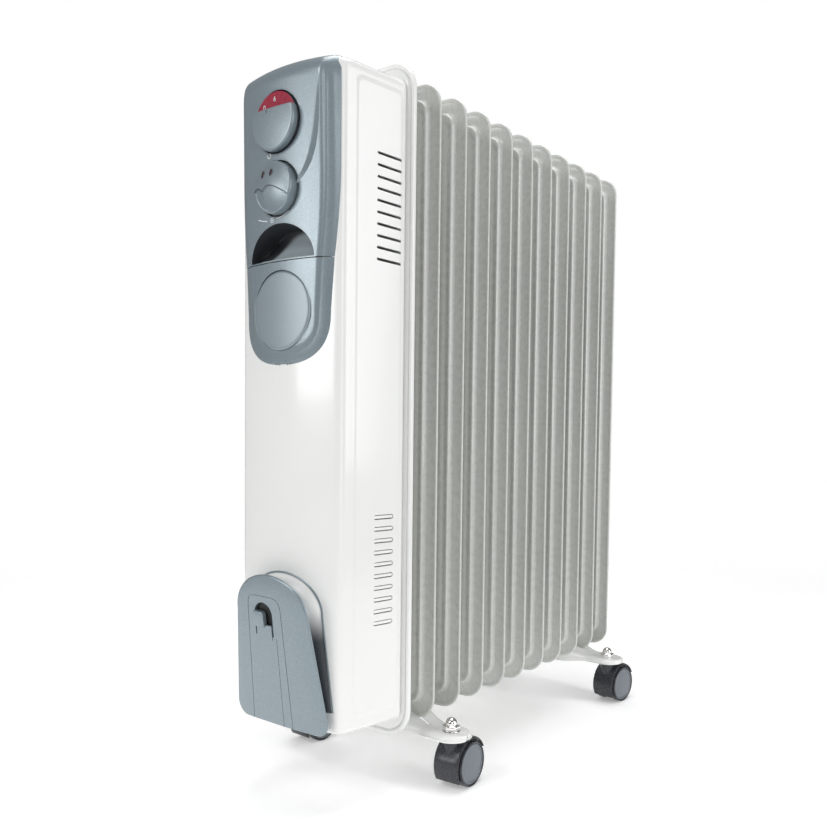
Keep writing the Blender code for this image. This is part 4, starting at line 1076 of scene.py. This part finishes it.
def make_controls(mats):
    floor = RECESS_FLOOR
    disc_front = F - 0.0905
    disc = loft(
        "scale_disc_face",
        disc_rings(0.0241, disc_front, floor + 0.0002, THERMOSTAT_Z, 0.0, 0.0004),
        cap_first=True,
        cap_last=True,
    )
    disc.data.materials.append(mats["red"])
    disc.data.materials.append(mats["slate"])
    # The disc's side wall is painted dark slate as the shade in its recess.
    for face in disc.data.polygons:
        face.material_index = 1 if abs(face.normal.y) < 0.3 else 0
    finish_piece(disc, None, ROOT, ["scale_disc"], 40.0)
    marks = []
    for index in range(7):
        a = math.radians(134 + 50 * index if index < 6 else 91)
        x, z = 0.0180 * math.cos(a), THERMOSTAT_Z + 0.0180 * math.sin(a)
        marks.append(numeral(str(index), x, z, disc_front - 0.0001, 0.0060, f"numeral {index}"))
    finish_piece(merge(*marks), mats["print"], ROOT).name = "scale_numerals"

    # The knob's rim reaches back round the disc
    front, back = F - 0.0958, F - 0.0887
    knob = loft(
        "thermostat_knob_moulding",
        disc_rings(0.0246, front, back, THERMOSTAT_Z, 0.0012, 0.0018),
        cap_first=True,
        cap_last=True,
    )
    cut(knob, cylinder("hollow", 0.0243, (0, disc_front - 0.0003, THERMOSTAT_Z), (0, back + 0.01, THERMOSTAT_Z), 96))
    cut(knob, box("chord", (-0.05, front - 0.02, THERMOSTAT_Z + 0.0094), (0.05, back + 0.02, THERMOSTAT_Z + 0.05)))
    bevel(knob, 0.0005, 2, 50.0)
    tick = box(
        "tick",
        (-0.0053, front - 0.0001, THERMOSTAT_Z + 0.0058),
        (-0.0048, front + 0.0008, THERMOSTAT_Z + 0.0088),
    )
    tick.data.materials.append(mats["ink"])
    knob.data.materials.append(mats["grey"])
    merge(knob, tick)
    finish_piece(knob, None, "thermostat", ["thermostat_knob"], 40.0)

    front, back = F - 0.0972, F - 0.0824
    knob = loft(
        "selector_knob_moulding",
        disc_rings(0.0214, front, back, SELECTOR_Z, 0.0034, 0.0022, 160, selector_relief, 60),
        cap_first=True,
        cap_last=True,
    )
    knob.data.materials.append(mats["grey"])
    windows = []
    for x, z in ((-0.0090, 0.0098), (0.0011, 0.0100)):
        lens = turned(
            "window",
            [(0.0, 0.0011), (0.0006, 0.0010), (0.0010, 0.0006), (0.0011, 0.0), (0.0011, -0.001), (0.0, -0.001)],
            Matrix.Identity(4),
            24,
        )
        y = front + 0.0034 * ((x * x + z * z) / 0.0214**2) + selector_relief(x, z)
        tilt = Matrix.Rotation(math.radians(9), 4, "Y")
        lens.data.transform(
            Matrix.Translation((x, y, SELECTOR_Z + z))
            @ tilt
            @ Matrix.Diagonal((1.6, 0.30, 3.6, 1.0))
            @ Matrix.Rotation(math.pi / 2, 4, "X")
        )
        lens.data.materials.append(mats["dark_red"])
        windows.append(lens)
    # A dark slate strip along the wave paints the shadow under its step.
    xs = [-0.0208 + 0.0358 * i / 90 for i in range(91)]
    line = ribbon(
        [(x, SELECTOR_Z + wave(x)) for x in xs],
        0.0007,
        0.00008,
        lambda x, z: front + 0.0034 * (x * x + (z - SELECTOR_Z) ** 2) / 0.0214**2,
    )
    line.data.materials.append(mats["slate"])
    merge(knob, line, *windows)
    finish_piece(knob, None, "selector", ["selector_knob"], 42.0)


# ------------------------------------------------------------------ cord winder


WINDER_PLACE = Matrix.Translation((0, F - 0.0806, B + 0.0129)) @ Matrix.Rotation(math.radians(7.0), 4, "X")


def winder_outline(inset=0.0, corner_steps=10, top_steps=28):
    foot, shoulder = 0.0545 - inset, 0.0430 - inset
    corner, rise = 0.012, 0.1340 - 0.1000 - inset
    points = [
        (foot - corner + corner * math.sin(a), inset + corner - corner * math.cos(a))
        for a in (math.pi / 2 * i / corner_steps for i in range(corner_steps + 1))
    ]
    for i in range(1, 10):
        t = i / 10
        points.append((foot + (shoulder - foot) * t, inset + corner + (0.1000 - corner - inset) * t))
    points += [
        (shoulder * math.cos(a), 0.1000 + rise * math.sin(a))
        for a in (math.pi / 2 * i / top_steps for i in range(top_steps + 1))
    ]
    return points + [(-x, z) for x, z in reversed(points) if x > 1e-6]


def winder_bow(x):
    """The plate's edges stand back from its middle."""
    return 0.0024 * (x / 0.0545) ** 2


def groove_cutter(points, width, front, back):
    """A closed band along an outline in X and Z, to cut a thin line with."""
    count = len(points)
    sides = []
    for offset in (-width / 2, width / 2):
        loop = []
        for i, (x, z) in enumerate(points):
            (x0, z0), (x1, z1) = points[i - 1], points[(i + 1) % count]
            length = math.hypot(x1 - x0, z1 - z0)
            loop.append((x - (z1 - z0) / length * offset, z + (x1 - x0) / length * offset))
        sides.append(loop)
    levels = ((sides[0], front), (sides[1], front), (sides[1], back), (sides[0], back))
    rings = [[(x, y, z) for x, z in loop] for loop, y in levels]
    return loft("groove", rings + rings[:1])


def make_winder(mats):
    rings = []
    front_edge = ((0.0014, 0.0), (0.0004, -0.0002), (0.0, -0.0007))
    back_edge = ((0.0, -0.0012), (0.0003, -0.0018), (0.0009, -0.0023), (0.0017, -0.0025))
    for inset, y in front_edge + back_edge:
        rings.append([(x, y, z) for x, z in winder_outline(inset)])
    plate = loft("cord_winder_plate_moulding", rings, cap_first=True, cap_last=True)
    field = [(-0.0330, -0.0100), (0.0165, -0.0100), (0.0132, 0.1050)]
    field += [(0.0122, 0.1095), (0.0090, 0.1130), (0.0040, 0.1146)]
    field += [(-0.0160, 0.1150), (-0.0215, 0.1142), (-0.0252, 0.1116), (-0.0264, 0.1070)]
    left, right, top, root = -0.0190, 0.0030, 0.1093, 0.0800
    middle, radius = (left + right) / 2, (right - left) / 2
    opening = arc_points(middle, top - radius, radius, 0, 180)
    opening += [(left, root), (right, root)]
    line = box("line", (0.0058, -0.0040, -0.0100), (0.0063, -0.0021, 0.0790))
    cut(plate, groove_cutter(field, 0.0006, -0.0040, -0.0020), line)
    cut(plate, slab("opening", opening, -0.02, 0.02))
    gap = 0.0018
    low, high = root - 0.003, root + 0.0095
    corners = [(left + gap, low), (right - gap, low), (right - gap, high), (left + gap, high)]
    tongue = slab("tongue", corners, -0.0029, -0.0004)
    pad_outline = [(left + 0.0003, root + 0.0080), (left + 0.0128, root + 0.0080), (left + 0.0128, root + 0.0198)]
    pad_outline += [(left + 0.0110, root + 0.0212), (left + 0.0008, root + 0.0218)]
    pad = slab("pad", pad_outline, -0.0050, -0.0004)
    bevel(pad, 0.0007, 3)
    merge(plate, tongue, pad)
    for vertex in plate.data.vertices:
        vertex.co.y += winder_bow(vertex.co.x)
    plate.data.transform(WINDER_PLACE)
    finish_piece(plate, mats["grey"], ROOT, ["cord_winder_plate"], 30.0)

    # The drum flares towards the housing and ends in a thin rounded lip on the white front
    rings = []
    shares = [(0.016 - 0.0152 * ease(t) ** 1.3, t) for t in (i / 14 for i in range(15))]
    shares += [(0.0006, 0.94), (-0.0002, 0.93), (-0.0008, 0.95), (-0.0010, 1.0), (-0.0010, 1.06)]
    for inset, t in shares:
        ring = []
        for x, z in winder_outline(inset):
            start = WINDER_PLACE @ Vector((x, 0.0003 + winder_bow(x), z))
            half = HOUSING["half_front"]
            front = HOUSING["front"] - HOUSING["bow"] * (1 - (start.x / half) ** 2)
            ring.append((start.x, start.y + (front + 0.0004 - start.y) * t, max(start.z, B + 0.0330)))
        rings.append(ring)
    drum = loft("cord_winder_drum_moulding", rings[:15], cap_first=True)
    lip = loft("lip", rings[14:])
    lip.data.materials.append(mats["grey"])
    drum.data.materials.append(mats["cove"])
    # The drum's front face, seen through the plate's opening, is painted black as shade.
    drum.data.materials.append(mats["black"])
    max(drum.data.polygons, key=lambda face: len(face.vertices)).material_index = 1
    merge(drum, lip)
    finish_piece(drum, None, ROOT, ["cord_winder_drum"], 50.0)


# ------------------------------------------------------------------ feet


CASTOR_X = 0.0935
FOOT_END = 0.0178
FOOT_Y = {"front": F + PITCH, "rear": F + 9 * PITCH}


def foot_points(x, drop=0.0):
    """One section of a foot at x: half of it, from the ridge to the skirt's edge."""
    blend = ease((abs(x) - 0.044) / 0.032)
    half = 0.027 + (FOOT_END - 0.027) * blend
    if abs(x) > CASTOR_X:
        half = math.sqrt(max(FOOT_END**2 - (abs(x) - CASTOR_X) ** 2, 0.0))
    ridge = B + 0.0060 + (-0.0100) * blend
    top = B + 0.0020 + (-0.0060) * blend
    skirt = B - 0.0100 + 0.0022 * blend
    return half, ridge, top, skirt


def make_foot(place, mats):
    y0 = FOOT_Y[place]
    stations = [i / 40 * CASTOR_X for i in range(41)]
    stations += [CASTOR_X + FOOT_END * math.sin(math.radians(a)) for a in (10, 20, 30, 40, 50, 60, 68, 75, 81, 86)]
    stations = [-x for x in reversed(stations[1:])] + stations
    rings = []
    for x in stations:
        half, ridge, top, skirt = foot_points(x)
        half = max(half, 0.0008)
        ring = []
        profile = [(0.0, ridge), (0.10, ridge - 0.0003)]
        profile += [(0.22, ridge + (top - ridge) * 0.55), (0.36, top + (ridge - top) * 0.08)]
        profile += [(0.55, top), (0.78, top - 0.0001), (0.90, top - 0.0006)]
        profile += [(0.965, top - 0.0018), (1.0, top - 0.0042)]
        profile += [(1.0, (top - 0.0042 + skirt) / 2), (1.0, skirt)]
        left = [(x, y0 - half * t, z) for t, z in reversed(profile)]
        right = [(x, y0 + half * t, z) for t, z in profile[1:]]
        rings.append(left + right)
    foot = loft(f"foot_{place}_pressed", rings, closed=False)
    thicken(foot, 0.0014)
    cut(foot, box("fin slot", (-0.070, y0 - 0.0020, B - 0.004), (0.070, y0 + 0.0020, B + 0.02)))
    finish_piece(foot, mats["white"], ROOT, [f"foot_{place}"], 45.0)


# ------------------------------------------------------------------ castors


TRAIL, WHEEL_R = 0.0150, 0.0205
TURN = {"front": 2.5, "rear": -7.0}


def along_x(name, profile, side=1, steps=64):
    """A body of revolution about the axle from (radius, x) points."""
    place = Matrix.Translation((0, TRAIL, WHEEL_R)) @ Matrix.Rotation(math.pi / 2 * side, 4, "Y")
    return turned(name, profile, place, steps)


def wheel(side, mats):
    """A wheel with a grooved tread and a stepped outer disc. side is 1 on the castor's right."""
    r = WHEEL_R
    tread = [(0.0032, 0.0070), (r - 0.0040, 0.0070), (r - 0.0012, 0.0074)]
    tread += [(r, 0.0084), (r, 0.0136), (r - 0.0006, 0.0144)]
    tread += [(r - 0.0014, 0.0140), (r - 0.0019, 0.0137), (r - 0.0021, 0.0131)]
    body = along_x("tread", tread, side)
    body.data.materials.append(mats["castor"])
    disc = [(r - 0.0021, 0.0131), (r - 0.0024, 0.0137), (r - 0.0031, 0.0140)]
    disc += [(r - 0.0038, 0.0140), (r - 0.0043, 0.0138)]
    disc += [(r - 0.0047, 0.0135), (r - 0.0060, 0.0136), (0.0060, 0.0139), (0.0, 0.0140)]
    face = along_x("disc", disc, side)
    face.data.materials.append(mats["disc"])
    return merge(body, face)


def hood(mats):
    """A web between the wheels, a curved cover that hugs their rims, stub axles and the stem's socket."""
    R = 0.0247
    profile = [(0.0, -0.0128), (0.0030, -0.0128), (0.0030, -0.0062), (0.0165, -0.0062), (0.0222, -0.0068)]
    profile += [(0.0227, -0.0080), (0.0227, -0.0122), (0.0231, -0.0131), (0.0237, -0.0132), (0.0243, -0.0126)]
    profile += [(R, -0.0112), (R, -0.0040), (R, 0.0040)]
    profile += [(r, -x) for r, x in reversed(profile[:-2])]
    cover = along_x("hood", profile, 1, 72)
    cut(cover, box("low", (-0.03, -0.05, -0.05), (0.03, 0.08, 0.0075)))
    cut(cover, box("back", (-0.03, TRAIL + 0.004, -0.05), (0.03, 0.08, WHEEL_R + 0.0105)))
    bevel(cover, 0.0006, 2, 50.0)
    neck = turned(
        "neck",
        [(0.0042, 0.0515), (0.0042, 0.0522), (0.0066, 0.0522), (0.0067, 0.0500)]
        + [(0.0066, 0.0460), (0.0058, 0.0380), (0.0050, 0.0260), (0.0044, 0.0180)],
        Matrix.Identity(4),
        40,
    )
    cone = turned(
        "boss",
        [(0.0, 0.0500), (0.0085, 0.0480), (0.0080, 0.0420), (0.0060, 0.0300), (0.0040, 0.0200), (0.0, 0.0180)],
        Matrix.Translation((0, 0.0010, 0)),
        40,
    )
    merge(cover, neck, cone)
    cover.data.materials.clear()
    cover.data.materials.append(mats["castor"])
    return cover


def nut(x, y, name, mats):
    """A chrome acorn nut: flange, chamfered hexagon and dome."""
    z = B - 0.0040
    base = turned(
        "flange",
        [(0.0, 0.0003), (0.0078, 0.0003), (0.0080, 0.0006), (0.0078, 0.0010), (0.0070, 0.0013), (0.0, 0.0015)],
        Matrix.Translation((x, y, z)),
        48,
    )
    hexagon = cylinder("hexagon", 0.0083, (x, y, z + 0.0009), (x, y, z + 0.0056), 6)
    bevel(hexagon, 0.0009, 3, 40.0)
    dome = [(0.0, 0.0124)]
    dome += [(0.0055 * math.sin(a), 0.0069 + 0.0055 * math.cos(a)) for a in angles(9, 90, 9)]
    dome += [(0.0054, 0.0062), (0.0057, 0.0058), (0.0064, 0.0055), (0.0, 0.0046)]
    cap = turned("dome", dome, Matrix.Translation((x, y, z)), 48)
    piece = merge(base, hexagon, cap)
    piece.name = name
    finish_piece(piece, mats["chrome"], ROOT, [name.replace("_acorn", "_nut")], 30.0)


def make_castors(mats):
    shared_hood = hood(mats)
    shared_wheels = {"left": wheel(-1, mats), "right": wheel(1, mats)}
    for mesh in (shared_hood.data, *[w.data for w in shared_wheels.values()]):
        mesh.shade_smooth()
        mesh.set_sharp_from_angle(angle=math.radians(38))
    for place, y in FOOT_Y.items():
        for side, sign in (("left", -1), ("right", 1)):
            name = f"castor_{place}_{side}"
            turn = math.radians(TURN[place] * sign)
            stand = Matrix.Translation((sign * CASTOR_X, y, 0.0)) @ Matrix.Rotation(turn, 4, "Z")
            cover = bpy.data.objects.new(f"{name}_cover", shared_hood.data.copy())
            SCENE.collection.objects.link(cover)
            cover.data.transform(stand)
            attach(cover, name)
            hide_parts(f"{name}_hood")
            for which, source in shared_wheels.items():
                disc = bpy.data.objects.new(f"{name}_{which}_disc", source.data.copy())
                SCENE.collection.objects.link(disc)
                disc.data.transform(stand)
                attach(disc, f"{name}_{which}")
                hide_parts(f"{name}_wheel_{which}")
            nut(sign * CASTOR_X, y, f"{name}_acorn", mats)
    for source in (shared_hood, *shared_wheels.values()):
        bpy.data.objects.remove(source)


# ------------------------------------------------------------------ carried-over CAD nodes


CARRIED = {
    "zinc": (
        "heating_element",
        "element_flange",
        "thermostat_spindle",
        "selector_spindle",
        "ubolt_front",
        "ubolt_rear",
    ),
    "brass": ("oil_filler_plug",),
    "black": ("thermostat_body", "selector_switch", "thermal_cutout"),
    "rubber": ("cord_gland",),
    "red": ("pilot_lamp",),
}


def dress_carried(mats):
    """Materials and rounded shading for the CAD nodes that show as they are."""
    names = {node: key for key, nodes in CARRIED.items() for node in nodes}
    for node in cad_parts:
        if node.startswith("wing_nut") or node.endswith("_stem"):
            names[node] = "zinc"
    for node, key in names.items():
        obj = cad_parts[node]
        obj.data.materials.clear()
        obj.data.materials.append(mats[key])
        obj.data.shade_smooth()
        weld = obj.modifiers.new("weld", "WELD")
        weld.merge_threshold = 0.00001
        split = obj.modifiers.new("edges", "EDGE_SPLIT")
        split.split_angle = math.radians(32)


def main():
    mats = make_materials()
    make_camera()
    make_studio()
    make_fins(mats)
    make_end_plate(mats)
    make_housing(mats)
    make_panel(mats)
    make_controls(mats)
    make_winder(mats)
    for place in FOOT_Y:
        make_foot(place, mats)
    make_castors(mats)
    dress_carried(mats)


main()
